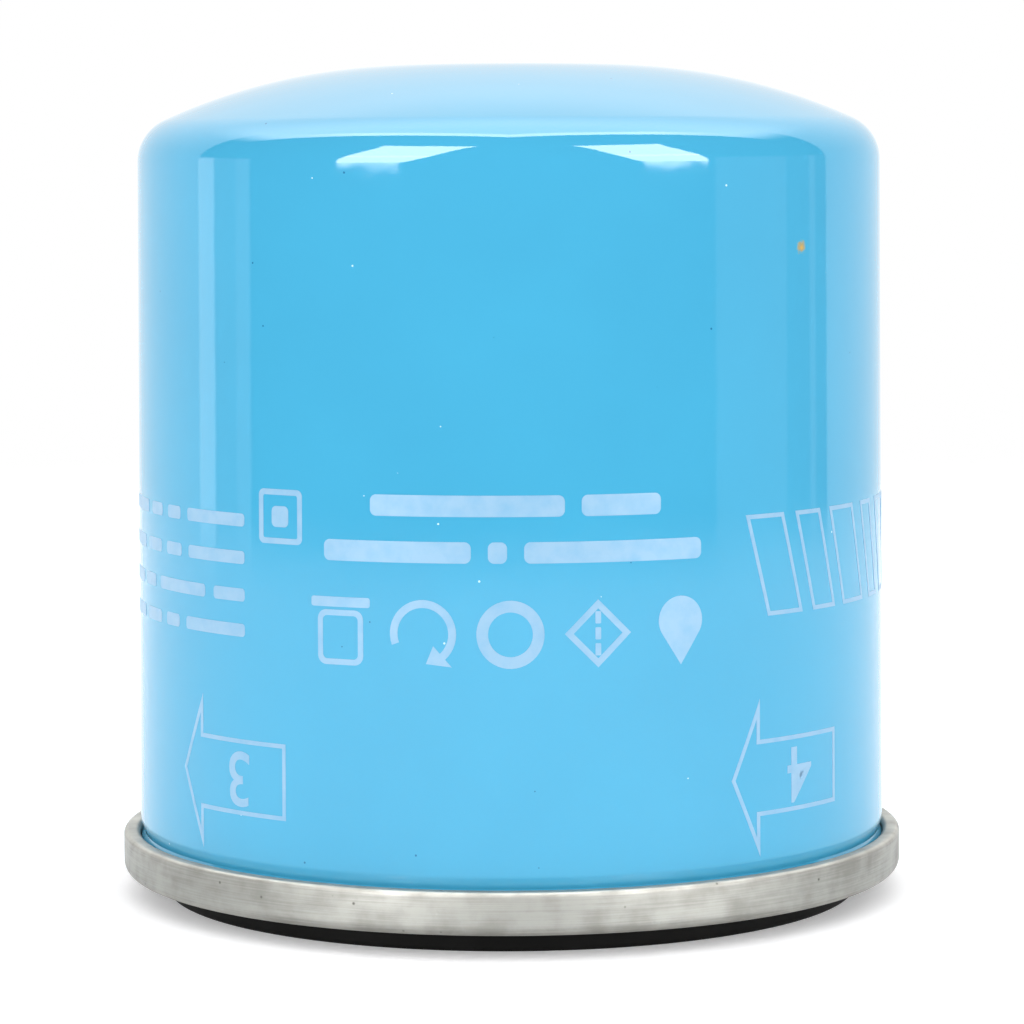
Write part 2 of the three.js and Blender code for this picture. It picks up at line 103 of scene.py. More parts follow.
def arc(centre: Point, size: float, start: float, end: float, step: float = 7.5) -> Outline:
    """Points along a circular arc.

    Args:
        centre: The arc's centre.
        size: Its radius.
        start: The first point's angle, in degrees from the first axis.
        end: The last point's angle.
        step: The widest angle between neighbouring points.

    Returns:
        The points, both ends included.
    """
    steps = max(2, math.ceil(abs(end - start) / step))
    turns = [math.radians(start + (end - start) * i / steps) for i in range(steps + 1)]
    return [(centre[0] + size * math.cos(a), centre[1] + size * math.sin(a)) for a in turns]


def rounded(corners: list[tuple[float, float, float]], closed: bool = True) -> Outline:
    """A line through corners that each have their own fillet radius.

    Args:
        corners: (first, second, fillet radius) of each corner; a radius of 0 leaves it sharp.
        closed: Whether the last corner joins the first.

    Returns:
        The points of the filleted line.
    """
    line: Outline = []
    count = len(corners)
    for i, (x, y, size) in enumerate(corners):
        here = Vector((x, y))
        if size <= 0 or (not closed and i in (0, count - 1)):
            line.append((x, y))
            continue
        before = (Vector(corners[i - 1][:2]) - here).normalized()
        after = (Vector(corners[(i + 1) % count][:2]) - here).normalized()
        half = before.angle(after) / 2
        centre = here + (before + after).normalized() * (size / math.sin(half))
        first = here + before * (size / math.tan(half)) - centre
        last = here + after * (size / math.tan(half)) - centre
        start = math.degrees(math.atan2(first.y, first.x))
        sweep = math.degrees(math.atan2(last.y, last.x)) - start
        sweep = (sweep + 180) % 360 - 180
        line += arc((centre.x, centre.y), size, start, start + sweep, FILLET_STEP)
    return line


def sheet(line: Outline, thickness: float, closed: bool = False) -> Outline | list[Outline]:
    """The outline of a sheet whose middle follows a line, with mitred corners.

    Args:
        line: The middle of the sheet.
        thickness: The sheet's thickness.
        closed: Whether the line's last point joins its first.

    Returns:
        One closed outline, or both sides as two outlines where the line is closed.
    """
    count = len(line)
    sides: list[Outline] = [[], []]
    for i in range(count):
        here = Vector(line[i])
        last, following = line[i - 1], line[(i + 1) % count]
        into = (here - Vector(last)) if closed or i else Vector(following) - here
        out = (Vector(following) - here) if closed or i < count - 1 else into
        into, out = into.normalized(), out.normalized()
        along = (into + out).normalized()
        reach = thickness / 2 / max(along.dot(into), MITRE_LIMIT)
        sides[0].append((here.x - along.y * reach, here.y + along.x * reach))
        sides[1].append((here.x + along.y * reach, here.y - along.x * reach))
    return sides if closed else sides[0] + sides[1][::-1]


def inset(outline: Outline, depth: float) -> Outline:
    """A closed outline drawn again inside itself, with its corners kept sharp.

    Args:
        outline: The outline.
        depth: The distance between the two, the same all round.

    Returns:
        The inner outline.
    """
    area = sum(a[0] * b[1] - b[0] * a[1] for a, b in zip(outline, outline[1:] + outline[:1]))
    sign = 1 if area > 0 else -1
    points: Outline = []
    for i, corner in enumerate(outline):
        here = Vector(corner)
        into = (here - Vector(outline[i - 1])).normalized()
        out = (Vector(outline[(i + 1) % len(outline)]) - here).normalized()
        square = sign * Vector((-into.y, into.x))
        inward = (square + sign * Vector((-out.y, out.x))).normalized()
        reach = depth / max(inward.dot(square), INSET_LIMIT)
        points.append((here.x + inward.x * reach, here.y + inward.y * reach))
    return points


# ---- meshes ----
ON_AXIS = 1e-6
CUT_OFFSET = 1e-4  # keeps a cut clear of the blank's own corners
CUT_TOLERANCE = 1e-5


def settle(form: bmesh.types.BMesh, name: str, sharp: float = SHARP) -> bpy.types.Object:
    """Turns a form in millimetres into a smooth-shaded object in metres.

    Args:
        form: The closed form; it is freed.
        name: The object's name.
        sharp: Edges that bend by more than this many degrees stay crisp.

    Returns:
        The new object, linked to the scene.
    """
    bmesh.ops.recalc_face_normals(form, faces=form.faces[:])
    bmesh.ops.scale(form, vec=(MM, MM, MM), verts=form.verts[:])
    mesh = bpy.data.meshes.new(name)
    form.to_mesh(mesh)
    form.free()
    mesh.shade_smooth()
    mesh.set_sharp_from_angle(angle=math.radians(sharp))
    piece = bpy.data.objects.new(name, mesh)
    bpy.context.scene.collection.objects.link(piece)
    return piece


def turned(outline: Outline, sides: int = 256, shape: Shape | None = None) -> bmesh.types.BMesh:
    """Turns a closed profile about Z.

    Args:
        outline: The (radius, height) points of the profile.
        sides: The number of steps round the axis.
        shape: Gives a point's own radius from its turn in radians, its radius and its height.

    Returns:
        The closed form.
    """
    form = bmesh.new()
    rows = []
    for radius, height in outline:
        if radius < ON_AXIS:
            rows.append([form.verts.new((0, 0, height))] * sides)
            continue
        row = []
        for j in range(sides):
            turn = 2 * math.pi * j / sides
            r = shape(turn, radius, height) if shape else radius
            row.append(form.verts.new((r * math.cos(turn), r * math.sin(turn), height)))
        rows.append(row)
    for here, following in zip(rows, rows[1:] + rows[:1]):
        for j in range(sides):
            k = (j + 1) % sides
            ring = dict.fromkeys((here[j], here[k], following[k], following[j]))
            if len(ring) > 2:
                form.faces.new(ring)
    return form


def filled(loops: Iterable[Outline]) -> bmesh.types.BMesh:
    """A flat blank between closed outlines in plan.

    Args:
        loops: The outlines. One that lies inside another is a hole.

    Returns:
        The blank, at height 0.
    """
    form = bmesh.new()
    for loop in loops:
        corners = [form.verts.new((x, y, 0)) for x, y in loop]
        for a, b in zip(corners, corners[1:] + corners[:1]):
            form.edges.new((a, b))
    bmesh.ops.triangle_fill(form, use_beauty=True, edges=form.edges[:], normal=(0, 0, 1))
    return form


def scored(form: bmesh.types.BMesh, pitch: float, across: Vector) -> bmesh.types.BMesh:
    """Cuts a flat blank into strips, so that it can be bent smoothly.

    Args:
        form: The blank.
        pitch: The strips' width.
        across: The direction in plan that the strips follow one another in.

    Returns:
        The same blank.
    """
    spread = [v.co.dot(across) for v in form.verts]
    first, last = math.ceil(min(spread) / pitch), math.floor(max(spread) / pitch)
    for i in range(first, last + 1):
        everything = form.verts[:] + form.edges[:] + form.faces[:]
        cut = across * (i * pitch + CUT_OFFSET)
        bmesh.ops.bisect_plane(
            form, geom=everything, dist=CUT_TOLERANCE, plane_co=cut, plane_no=across
        )
    return form


def pressed(form: bmesh.types.BMesh, low: float, high: float, bend: Bend) -> bmesh.types.BMesh:
    """Gives a flat blank its thickness and bends it to shape.

    Args:
        form: The blank, in plan.
        low: Its underside's level.
        high: Its top's level.
        bend: Gives each point's place from its place in the thick flat blank.

    Returns:
        The same blank as a closed, bent sheet.
    """
    made = bmesh.ops.extrude_face_region(form, geom=form.faces[:], use_keep_orig=True)
    upper = {v for v in made["geom"] if isinstance(v, bmesh.types.BMVert)}
    for v in form.verts:
        v.co = bend(v.co.x, v.co.y, high if v in upper else low)
    return form


def upright(x: float, y: float, w: float) -> Vector:
    """Leaves a pressed blank standing up, with its thickness as its height."""
    return Vector((x, y, w))


def swept(line: list[Vector], size: float, sides: int = 12) -> bmesh.types.BMesh:
    """A round wire along a line, closed at both ends.

    Args:
        line: The middle of the wire.
        size: The wire's radius.
        sides: The number of steps round the wire.

    Returns:
        The closed form.
    """
    form = bmesh.new()
    rows = []
    for i, here in enumerate(line):
        along = (line[min(i + 1, len(line) - 1)] - line[max(i - 1, 0)]).normalized()
        out = Vector((here.x, here.y, 0)).normalized()
        out = (out - along * out.dot(along)).normalized()
        up = along.cross(out)
        turns = [2 * math.pi * j / sides for j in range(sides)]
        rim = [here + (out * math.cos(a) + up * math.sin(a)) * size for a in turns]
        rows.append([form.verts.new(p) for p in rim])
    for low, high in zip(rows, rows[1:]):
        for j in range(sides):
            k = (j + 1) % sides
            form.faces.new((low[j], low[k], high[k], high[j]))
    form.faces.new(rows[0])
    form.faces.new(rows[-1])
    return form


def drill(piece: bpy.types.Object, cutters: list[bpy.types.Object]) -> None:
    """Cuts closed cutters out of a piece and removes them.

    Args:
        piece: The piece, which gets a new mesh.
        cutters: The cutters, in place.
    """
    for cutter in cutters:
        cut = piece.modifiers.new("cut", "BOOLEAN")
        cut.operation, cut.solver, cut.object = "DIFFERENCE", "EXACT", cutter
    bpy.context.view_layer.update()
    seen = piece.evaluated_get(bpy.context.evaluated_depsgraph_get())
    mesh = bpy.data.meshes.new_from_object(seen)
    piece.modifiers.clear()
    piece.data = mesh
    mesh.name = piece.name
    mesh.shade_smooth()
    mesh.set_sharp_from_angle(angle=math.radians(SHARP))
    for cutter in cutters:
        bpy.data.objects.remove(cutter)


# ---- finishes ----
def linear(code: str) -> Colour:
    """The linear colour of an sRGB hex code.

    Args:
        code: Six hex digits, such as "50BEEC".

    Returns:
        Red, green, blue and alpha.
    """
    parts = [int(code[i : i + 2], 16) / 255 for i in (0, 2, 4)]
    red, green, blue = [c / 12.92 if c <= 0.04045 else ((c + 0.055) / 1.055) ** 2.4 for c in parts]
    return (red, green, blue, 1.0)


def add(tree: Tree, kind: str, inputs: Inputs | None = None, **settings: object) -> Node:
    """Adds one node.

    Args:
        tree: The node tree.
        kind: The node's type, without the leading "ShaderNode".
        inputs: What each input takes: an output to link, or a value. The key is the input's
            name, or its number where names repeat. A map range counts its value, the two ends
            that it comes from and the two that it goes to. A mix counts its factor, its two
            numbers at 2 and 3, and its two colours at 6 and 7.
        **settings: The node's own properties; "stops" fills a colour ramp with (place, hex).

    Returns:
        The node.
    """
    node = tree.nodes.new("ShaderNode" + kind)
    stops = settings.pop("stops", None)
    for name, value in settings.items():
        setattr(node, name, value)
    if stops:
        while len(node.color_ramp.elements) < len(stops):
            node.color_ramp.elements.new(0.5)
        for element, (place, code) in zip(node.color_ramp.elements, stops):
            element.position, element.color = place, linear(code)
    for key, value in (inputs or {}).items():
        if isinstance(value, Socket):
            tree.links.new(value, node.inputs[key])
        else:
            node.inputs[key].default_value = value
    return node


@dataclass(frozen=True)
class Finish:
    """A real material and how its surface was made.

    Each finish draws its colour, roughness and relief in `dress`, from the piece's own
    coordinates in millimetres, so a pattern's scale is one over its real size.
    """

    name: str
    colour: str
    roughness: float
    metallic: float = 0.0
    ior: float = 1.5

    def material(self) -> bpy.types.Material:
        """This finish's material, made once and shared by every piece that wears it.

        Returns:
            The material.
        """
        made = bpy.data.materials.get(self.name)
        if made:
            return made
        made = bpy.data.materials.new(self.name)
        made.use_nodes = True
        tree = made.node_tree
        tree.nodes.clear()
        plain: Inputs = {
            "Base Color": linear(self.colour),
            "Roughness": self.roughness,
            "Metallic": self.metallic,
        }
        if not self.metallic:
            plain["IOR"] = self.ior
        place = add(tree, "TexCoord").outputs["Object"]
        grid = add(tree, "VectorMath", {0: place, "Scale": 1 / MM}, operation="SCALE")
        shader = add(tree, "BsdfPrincipled", plain | self.dress(tree, grid.outputs[0]))
        add(tree, "OutputMaterial", {0: shader.outputs[0]})
        return made

    def dress(self, tree: Tree, grid: Socket) -> Inputs:
        """The shader inputs that this finish sets itself; a plain finish sets none."""
        return {}


@dataclass(frozen=True)
class StovedEnamel(Finish):
    """Gloss enamel sprayed on drawn steel and stoved.

    The eye gets a hard wet gloss whose reflections waver a little with the orange peel, and a
    few dust nibs and pinholes.
    """

    drift: float = 18.0  # width of the slow changes in tone
    peel: float = 3.0  # width of the orange peel's cells
    peel_depth: float = 0.007
    ripple: float = 14.0  # width of the faint upright waves that drawing leaves in the wall
    ripple_depth: float = 0.02
    stretch: float = 0.12  # how much slower the waves change upwards than round the can
    nib: float = 3.8  # mean distance between dust nibs
    nib_size: float = 0.028  # a nib's radius, as a share of that distance
    pale_share: float = 0.45  # of the nibs; the others are dark pinholes
    fleck: tuple[float, float, float] = (28.0, -25.3, 66.1)  # a speck of rust under the enamel
    fleck_size: float = 0.6
    fleck_wobble: float = 0.9  # how ragged the speck's edge is
    fleck_soft: float = 0.15

    def dress(self, tree: Tree, grid: Socket) -> Inputs:
        """Orange peel, drawing waves, nibs, pinholes and one rust fleck.

        Args:
            tree: The material's nodes.
            grid: The place on the piece, in millimetres.

        Returns:
            The shader inputs that the pattern sets.
        """
        drift = add(tree, "TexNoise", {"Vector": grid, "Scale": 1 / self.drift, "Detail": 3.0})
        stops = [(0.3, "46A9D1"), (0.7, "48ADD5")]
        tone = add(tree, "ValToRGB", {0: drift.outputs["Fac"]}, stops=stops)

        cells = {"Vector": grid, "Scale": 1 / self.nib, "Randomness": 1.0}
        nibs = add(tree, "TexVoronoi", cells)
        near = {0: nibs.outputs["Distance"], 1: self.nib_size}
        nib = add(tree, "Math", near, operation="LESS_THAN")
        pick = add(tree, "SeparateColor", {0: nibs.outputs["Color"]})
        kind = {0: pick.outputs[0], 1: self.pale_share}
        dark = add(tree, "Math", kind, operation="GREATER_THAN")
        shade = add(tree, "ValToRGB", {0: dark.outputs[0]}, stops=[(0, "C8ECFA"), (1, "1F6F9E")])
        sides = {0: nib.outputs[0], 6: tone.outputs[0], 7: shade.outputs[0]}
        spotted = add(tree, "Mix", sides, data_type="RGBA")

        wobble = add(tree, "TexNoise", {"Vector": grid, "Scale": 2.2, "Detail": 2.0})
        away = add(tree, "VectorMath", {0: grid, 1: self.fleck}, operation="DISTANCE")
        uneven = {0: wobble.outputs["Fac"], 1: -self.fleck_wobble, 2: away.outputs["Value"]}
        ragged = add(tree, "Math", uneven, operation="MULTIPLY_ADD")
        edge = self.fleck_size - self.fleck_wobble / 2
        ends = {0: ragged.outputs[0], 1: edge + self.fleck_soft, 2: edge - self.fleck_soft}
        speck = add(tree, "MapRange", ends)
        depth = add(tree, "Math", {0: ragged.outputs[0], 1: self.fleck_wobble / 2})
        stops = [(0.1, "CDAA62"), (0.3, "B3A06F"), (0.6, "8CAAA2")]
        rust = add(tree, "ValToRGB", {0: depth.outputs[0]}, stops=stops)
        sides = {0: speck.outputs[0], 6: spotted.outputs[2], 7: rust.outputs[0]}
        rusty = add(tree, "Mix", sides, data_type="RGBA")

        peel = add(tree, "TexNoise", {"Vector": grid, "Scale": 1 / self.peel, "Detail": 1.0})
        upright = add(tree, "Mapping", {0: grid, "Scale": (1, 1, self.stretch)})
        wave = {"Vector": upright.outputs[0], "Scale": 1 / self.ripple, "Detail": 2.0}
        waves = add(tree, "TexNoise", wave)
        peel_share = self.peel_depth / self.ripple_depth
        both = {0: peel.outputs["Fac"], 1: peel_share, 2: waves.outputs["Fac"]}
        height = add(tree, "Math", both, operation="MULTIPLY_ADD")
        relief = {"Height": height.outputs[0], "Distance": self.ripple_depth * MM}
        bump = add(tree, "Bump", relief)
        return {"Base Color": rusty.outputs[2], "Normal": bump.outputs[0]}


@dataclass(frozen=True)
class ScreenInk(Finish):
    """Pale ink screen-printed on the enamel: a thin satin film, a shade thinner in places."""

    patch: float = 1.6  # width of the thin places
    thin: str = "82B6D8"  # the tone where the film is thin
    weave: float = 0.3  # spacing of the screen's threads
    depth: float = 0.002

    def dress(self, tree: Tree, grid: Socket) -> Inputs:
        """Uneven ink, and the weave of the screen in its surface.

        Args:
            tree: The material's nodes.
            grid: The place on the piece, in millimetres.

        Returns:
            The shader inputs that the pattern sets.
        """
        film = add(tree, "TexNoise", {"Vector": grid, "Scale": 1 / self.patch, "Detail": 4.0})
        stops = [(0.25, self.thin), (0.6, self.colour)]
        tone = add(tree, "ValToRGB", {0: film.outputs["Fac"]}, stops=stops)
        mesh = add(tree, "TexNoise", {"Vector": grid, "Scale": 1 / self.weave, "Detail": 1.0})
        relief = {"Height": mesh.outputs["Fac"], "Distance": self.depth * MM}
        return {"Base Color": tone.outputs[0], "Normal": add(tree, "Bump", relief).outputs[0]}


@dataclass(frozen=True)
class RolledSteel(Finish):
    """Sheet steel, rolled, plated or bare.

    The eye gets a dull grey metal, mottled by handling, with fine scratches that run the way
    the sheet was drawn or rolled round, and small pits.
    """

    worn: str = "8E8D88"  # the mottle's darker tone
    streak: float = 0.16  # a scratch's height; real ones are finer, but would not show
    run: float = 9.0  # a scratch's length
    mottle: float = 3.5  # width of a patch
    nick: float = 2.4  # mean distance between nicks
    dirt: str = "5E5C57"  # what has settled in the nicks
    pit: float = 1.7  # mean distance between pits
    pit_depth: float = 1.5  # as a share of the scratches' depth
    depth: float = 0.006

    def dress(self, tree: Tree, grid: Socket) -> Inputs:
        """Mottle, scratches along the sheet, nicks and pits.

        Args:
            tree: The material's nodes.
            grid: The place on the piece, in millimetres.

        Returns:
            The shader inputs that the pattern sets.
        """
        patch = add(tree, "TexNoise", {"Vector": grid, "Scale": 1 / self.mottle, "Detail": 5.0})
        along = add(tree, "Mapping", {0: grid, "Scale": (self.streak / self.run,) * 2 + (1.0,)})
        fine = {"Vector": along.outputs[0], "Scale": 1 / self.streak, "Detail": 2.0}
        lines = add(tree, "TexNoise", fine)
        blend = {0: lines.outputs["Fac"], 1: 0.45, 2: patch.outputs["Fac"]}
        wear = add(tree, "Math", blend, operation="MULTIPLY_ADD")
        stops = [(0.55, self.worn), (0.85, self.colour)]
        tone = add(tree, "ValToRGB", {0: wear.outputs[0]}, stops=stops)

        nicks = add(tree, "TexVoronoi", {"Vector": grid, "Scale": 1 / self.nick})
        nick = add(tree, "MapRange", {0: nicks.outputs["Distance"], 1: 0.08, 2: 0.03})
        sides = {0: nick.outputs[0], 6: tone.outputs[0], 7: linear(self.dirt)}
        marked = add(tree, "Mix", sides, data_type="RGBA")

        ends = {1: 0.4, 2: 1.05, 3: self.roughness + 0.14, 4: self.roughness - 0.08}
        rough = add(tree, "MapRange", {0: wear.outputs[0]} | ends)

        pits = add(tree, "TexVoronoi", {"Vector": grid, "Scale": 1 / self.pit})
        ends = {1: 0.03, 2: 0.12, 3: -self.pit_depth, 4: 0.0}
        pit = add(tree, "MapRange", {0: pits.outputs["Distance"]} | ends)
        height = add(tree, "Math", {0: lines.outputs["Fac"], 1: pit.outputs[0]})
        relief = {"Height": height.outputs[0], "Distance": self.depth * MM}
        bump = add(tree, "Bump", relief)
        return {
            "Base Color": marked.outputs[2],
            "Roughness": rough.outputs[0],
            "Normal": bump.outputs[0],
        }


@dataclass(frozen=True)
class MouldedRubber(Finish):
    """Rubber pressed in a mould: matt, almost even, with a faint bloom and a fine grain."""

    bloom: str = "2A2A2A"
    cloud: float = 4.0  # width of the bloom's patches
    grain: float = 0.35
    depth: float = 0.008

    def dress(self, tree: Tree, grid: Socket) -> Inputs:
        """Bloom and mould grain.

        Args:
            tree: The material's nodes.
            grid: The place on the piece, in millimetres.

        Returns:
            The shader inputs that the pattern sets.
        """
        cloud = add(tree, "TexNoise", {"Vector": grid, "Scale": 1 / self.cloud, "Detail": 6.0})
        stops = [(0.35, self.colour), (0.75, self.bloom)]
        tone = add(tree, "ValToRGB", {0: cloud.outputs["Fac"]}, stops=stops)
        skin = add(tree, "TexNoise", {"Vector": grid, "Scale": 1 / self.grain, "Detail": 2.0})
        relief = {"Height": skin.outputs["Fac"], "Distance": self.depth * MM}
        return {"Base Color": tone.outputs[0], "Normal": add(tree, "Bump", relief).outputs[0]}


@dataclass(frozen=True)
class ResinPaper(Finish):
    """Cellulose paper soaked in phenolic resin and cured: warm, matt and fibrous."""

    resin: str = "B98A3F"  # the darker tone between the fibres
    fibre: float = 0.25  # width of a fibre clump; single fibres would be too fine to show
    cloud: float = 6.0  # width of the sheet's uneven patches
    depth: float = 0.03

    def dress(self, tree: Tree, grid: Socket) -> Inputs:
        """Fibres lying every way, with darker resin between them.

        Args:
            tree: The material's nodes.
            grid: The place on the piece, in millimetres.

        Returns:
            The shader inputs that the pattern sets.
        """
        felt = {"Vector": grid, "Scale": 1 / self.fibre, "Detail": 6.0, "Distortion": 1.5}
        knot = add(tree, "TexNoise", felt)
        cloud = add(tree, "TexNoise", {"Vector": grid, "Scale": 1 / self.cloud, "Detail": 3.0})
        both = {0: knot.outputs["Fac"], 1: 0.6, 2: cloud.outputs["Fac"]}
        pulp = add(tree, "Math", both, operation="MULTIPLY_ADD")
        stops = [(0.5, self.resin), (1.0, self.colour)]
        tone = add(tree, "ValToRGB", {0: pulp.outputs[0]}, stops=stops)
        relief = {"Height": knot.outputs["Fac"], "Distance": self.depth * MM}
        return {"Base Color": tone.outputs[0], "Normal": add(tree, "Bump", relief).outputs[0]}


@dataclass(frozen=True)
class PouredCompound(Finish):
    """Compound poured or laid wet and cured: smooth, slightly uneven, with small bubbles."""

    shadow: str = "7E2A1C"
    swirl: float = 5.0  # width of a swirl
    bubble: float = 2.2  # mean distance between bubbles
    depth: float = 0.05

    def dress(self, tree: Tree, grid: Socket) -> Inputs:
        """Slow swirls of tone and burst bubbles.

        Args:
            tree: The material's nodes.
            grid: The place on the piece, in millimetres.

        Returns:
            The shader inputs that the pattern sets.
        """
        flow = {"Vector": grid, "Scale": 1 / self.swirl, "Detail": 3.0, "Distortion": 1.2}
        swirl = add(tree, "TexNoise", flow)
        stops = [(0.3, self.shadow), (0.65, self.colour)]
        tone = add(tree, "ValToRGB", {0: swirl.outputs["Fac"]}, stops=stops)
        cells = add(tree, "TexVoronoi", {"Vector": grid, "Scale": 1 / self.bubble})
        pop = add(tree, "MapRange", {0: cells.outputs["Distance"], 1: 0.1, 2: 0.22})
        relief = {"Height": pop.outputs[0], "Distance": self.depth * MM}
        return {"Base Color": tone.outputs[0], "Normal": add(tree, "Bump", relief).outputs[0]}


@dataclass(frozen=True)
class MattPaint(Finish):
    """Matt white studio paint on a lit table: even, with a faint stipple, clear from below."""

    glow: float = 0.3  # light that comes up through the table
    solid: float = 330.0  # radius where the paint starts to fade out
    edge: float = 560.0  # radius where it ends
    stipple: float = 1.5  # width of the roller's dots
    shade: str = "F2F2F4"  # the tone between the dots

    def dress(self, tree: Tree, grid: Socket) -> Inputs:
        """Roller stipple, the table's own light, and no paint on the underside.

        Args:
            tree: The material's nodes.
            grid: The place on the piece, in millimetres.

        Returns:
            The shader inputs that the pattern sets.
        """
        under = add(tree, "NewGeometry").outputs["Backfacing"]
        above = add(tree, "Math", {0: 1.0, 1: under}, operation="SUBTRACT")
        away = add(tree, "VectorMath", {0: grid}, operation="LENGTH").outputs["Value"]
        ends = {0: away, 1: self.edge, 2: self.solid}
        laid = add(tree, "MapRange", ends, interpolation_type="SMOOTHSTEP")
        alpha = add(tree, "Math", {0: above.outputs[0], 1: laid.outputs[0]}, operation="MULTIPLY")
        dots = add(tree, "TexNoise", {"Vector": grid, "Scale": 1 / self.stipple, "Detail": 2.0})
        stops = [(0.3, self.shade), (0.7, self.colour)]
        tone = add(tree, "ValToRGB", {0: dots.outputs["Fac"]}, stops=stops)
        return {
            "Base Color": tone.outputs[0],
            "Alpha": alpha.outputs[0],
            "Emission Color": linear(self.colour),
            "Emission Strength": self.glow,
        }


# Blue stoving enamel: the brightest colour of all, a hard gloss that is a little wavy.
ENAMEL = StovedEnamel("stoved_blue_enamel", "47AAD1", 0.035, ior=1.56)
# Screen ink: paler and flatter than the enamel under it.
INK = ScreenInk("screen_printed_ink", "95BEDB", 0.34)
# Zinc-plated sheet: pale warm grey, dull, scratched round by the seaming rolls.
ZINC = RolledSteel("zinc_plated_sheet_steel", "A4A39D", 0.5, 1.0, worn="8F8E88")
# Bare mild steel: greyer and rougher, oiled.
BARE = RolledSteel("bare_mild_steel", "9A9C9E", 0.42, 1.0, worn="6E7073", mottle=5.0)
# Inside of the can: uncoated drawn steel, streaked by drawing.
DRAWN = RolledSteel("drawn_steel_inside", "A2A19C", 0.4, 1.0, worn="777671", mottle=8.0)
# Spring steel: dark, smooth, oiled.
SPRING = RolledSteel("oiled_spring_steel", "7C7F83", 0.3, 1.0, worn="4C4F53", mottle=6.0)
# Nitrile: black with a slight sheen.
NITRILE = MouldedRubber("moulded_nitrile_rubber", "0A0A09", 0.6, ior=1.2, bloom="121211")
# Silicone: warm red-brown, satin.
SILICONE = MouldedRubber("moulded_silicone_rubber", "9C3F25", 0.42, ior=1.43, bloom="B05337")
# Filter paper: warm tan, quite matt.
PAPER = ResinPaper("resin_treated_filter_paper", "DDB973", 0.85)
# Plastisol, which holds the paper in the end caps: brick red, with a soft sheen.
PLASTISOL = PouredCompound("cured_plastisol", "B9482F", 0.45)
# Seaming compound: pale putty, with a soft sheen.
SEALANT = PouredCompound("cured_seaming_compound", "CBBF9A", 0.5, shadow="A89C78")
# Studio paint: white, with no gloss.
PAINT = MattPaint("matt_white_studio_paint", "F7F7F8", 0.9)


def fit(piece: bpy.types.Object, body: Body, slot: Slot, finish: Finish, *nodes: str) -> None:
    """Dresses a piece, rides it on its body and hides the CAD nodes that it stands for.

    Args:
        piece: The piece, in place.
        body: The CAD body that it moves with.
        slot: The record's slot that its finish belongs to; not used.
        finish: What it is made of.
        *nodes: The CAD nodes that it replaces.
    """
    piece.data.materials.clear()
    piece.data.materials.append(finish.material())
    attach(piece, body.value)
    if nodes:
        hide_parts(*nodes)
    faces = len(piece.data.polygons)
    LOG.info("%s: %d faces, %s, on %s", piece.name, faces, finish.name, body.value)


# ---- the shell ----
@dataclass
class DrawnCan:
    """The can: one drawn steel sheet from the crown down to the body hook in the seam."""

    height: float = 84.0
    top_radius: float = 37.6
    foot_radius: float = 38.1
    sheet: float = 0.5
    crown_flat: float = 10.0
    crown_arc: float = 60.0
    shoulder: float = 4.7
    neck: float = 0.36  # how far the seaming rolls draw the wall in, just above the seam
    neck_top: float = 7.7
    seam_top: float = 6.5
    fold: Point = (38.43, 3.66)
    fold_size: float = 0.58
    hook: Point = (39.01, 5.27)
    shoulder_level: float = 74.34  # where the wall ends and the shoulder starts
    roof: float = 70.0  # faces over this level that look down are the crown's inside
    buried: float = 5.9  # faces under this level are inside the seam
    sides: int = 320

    def middle_line(self) -> Outline:
        """The middle of the sheet, from the crown's centre to the tip of the body hook.

        Returns:
            The line's points.
        """
        half = self.sheet / 2
        low = self.height - self.crown_arc
        fillet = self.top_radius - self.shoulder
        between = self.crown_arc - self.shoulder
        lean = math.asin((fillet - self.crown_flat) / between)
        level = low + between * math.cos(lean)
        tangent = 90 - math.degrees(lean)
        wall = self.foot_radius - half
        hollow = wall - self.neck
        flat = [(self.crown_flat * i / 4, self.height - half) for i in range(4)]
        crown = arc((self.crown_flat, low), self.crown_arc - half, 90, tangent, 1.0)
        shoulder = arc((fillet, level), self.shoulder - half, tangent, 0, 3.0)
        top_wall = self.top_radius - half
        drop = level - self.neck_top
        steps = 18
        share = [i / steps for i in range(1, steps)]
        side = [(top_wall + (wall - top_wall) * t, level - drop * t) for t in share]
        neck = [
            (*side[-1], 0),
            (wall, self.neck_top, 1.2),
            (hollow, self.seam_top - 0.08, 0.25),
            (wall, self.seam_top - 0.7, 0.3),
            (wall, self.fold[1], 0),
        ]
        foot = arc(self.fold, self.fold_size, 180, 360, 12)
        wall_and_neck = side[:-1] + rounded(neck, False)[:-1]
        return flat + crown + shoulder[1:] + wall_and_neck + foot + [self.hook]

    def wall_radius(self, height: float) -> float:
        """The can's outside radius at a height on the plain wall."""
        share = (height - self.seam_top) / (self.shoulder_level - self.seam_top)
        return self.foot_radius + (self.top_radius - self.foot_radius) * share

    def build(self) -> None:
        """Turns the sheet, with enamel outside and drawn steel inside."""
        near_axis = 0.01
        outline = sheet(self.middle_line(), self.sheet)
        outline = [(0.0 if abs(r) < near_axis else r, z) for r, z in outline]
        piece = settle(turned(outline, self.sides), "can")
        fit(piece, Body.ROOT, Slot.BLUE_ENAMEL, ENAMEL, "can")
        piece.data.materials.append(DRAWN.material())
        for face in piece.data.polygons:
            middle = Vector((face.center.x, face.center.y, 0))
            inward = middle.length > 5 * MM and face.normal.dot(middle.normalized()) < -0.05
            under = face.normal.z < -0.5 and face.center.z > self.roof * MM
            hidden = face.center.z < self.buried * MM
            face.material_index = 1 if (inward or under or hidden) else 0


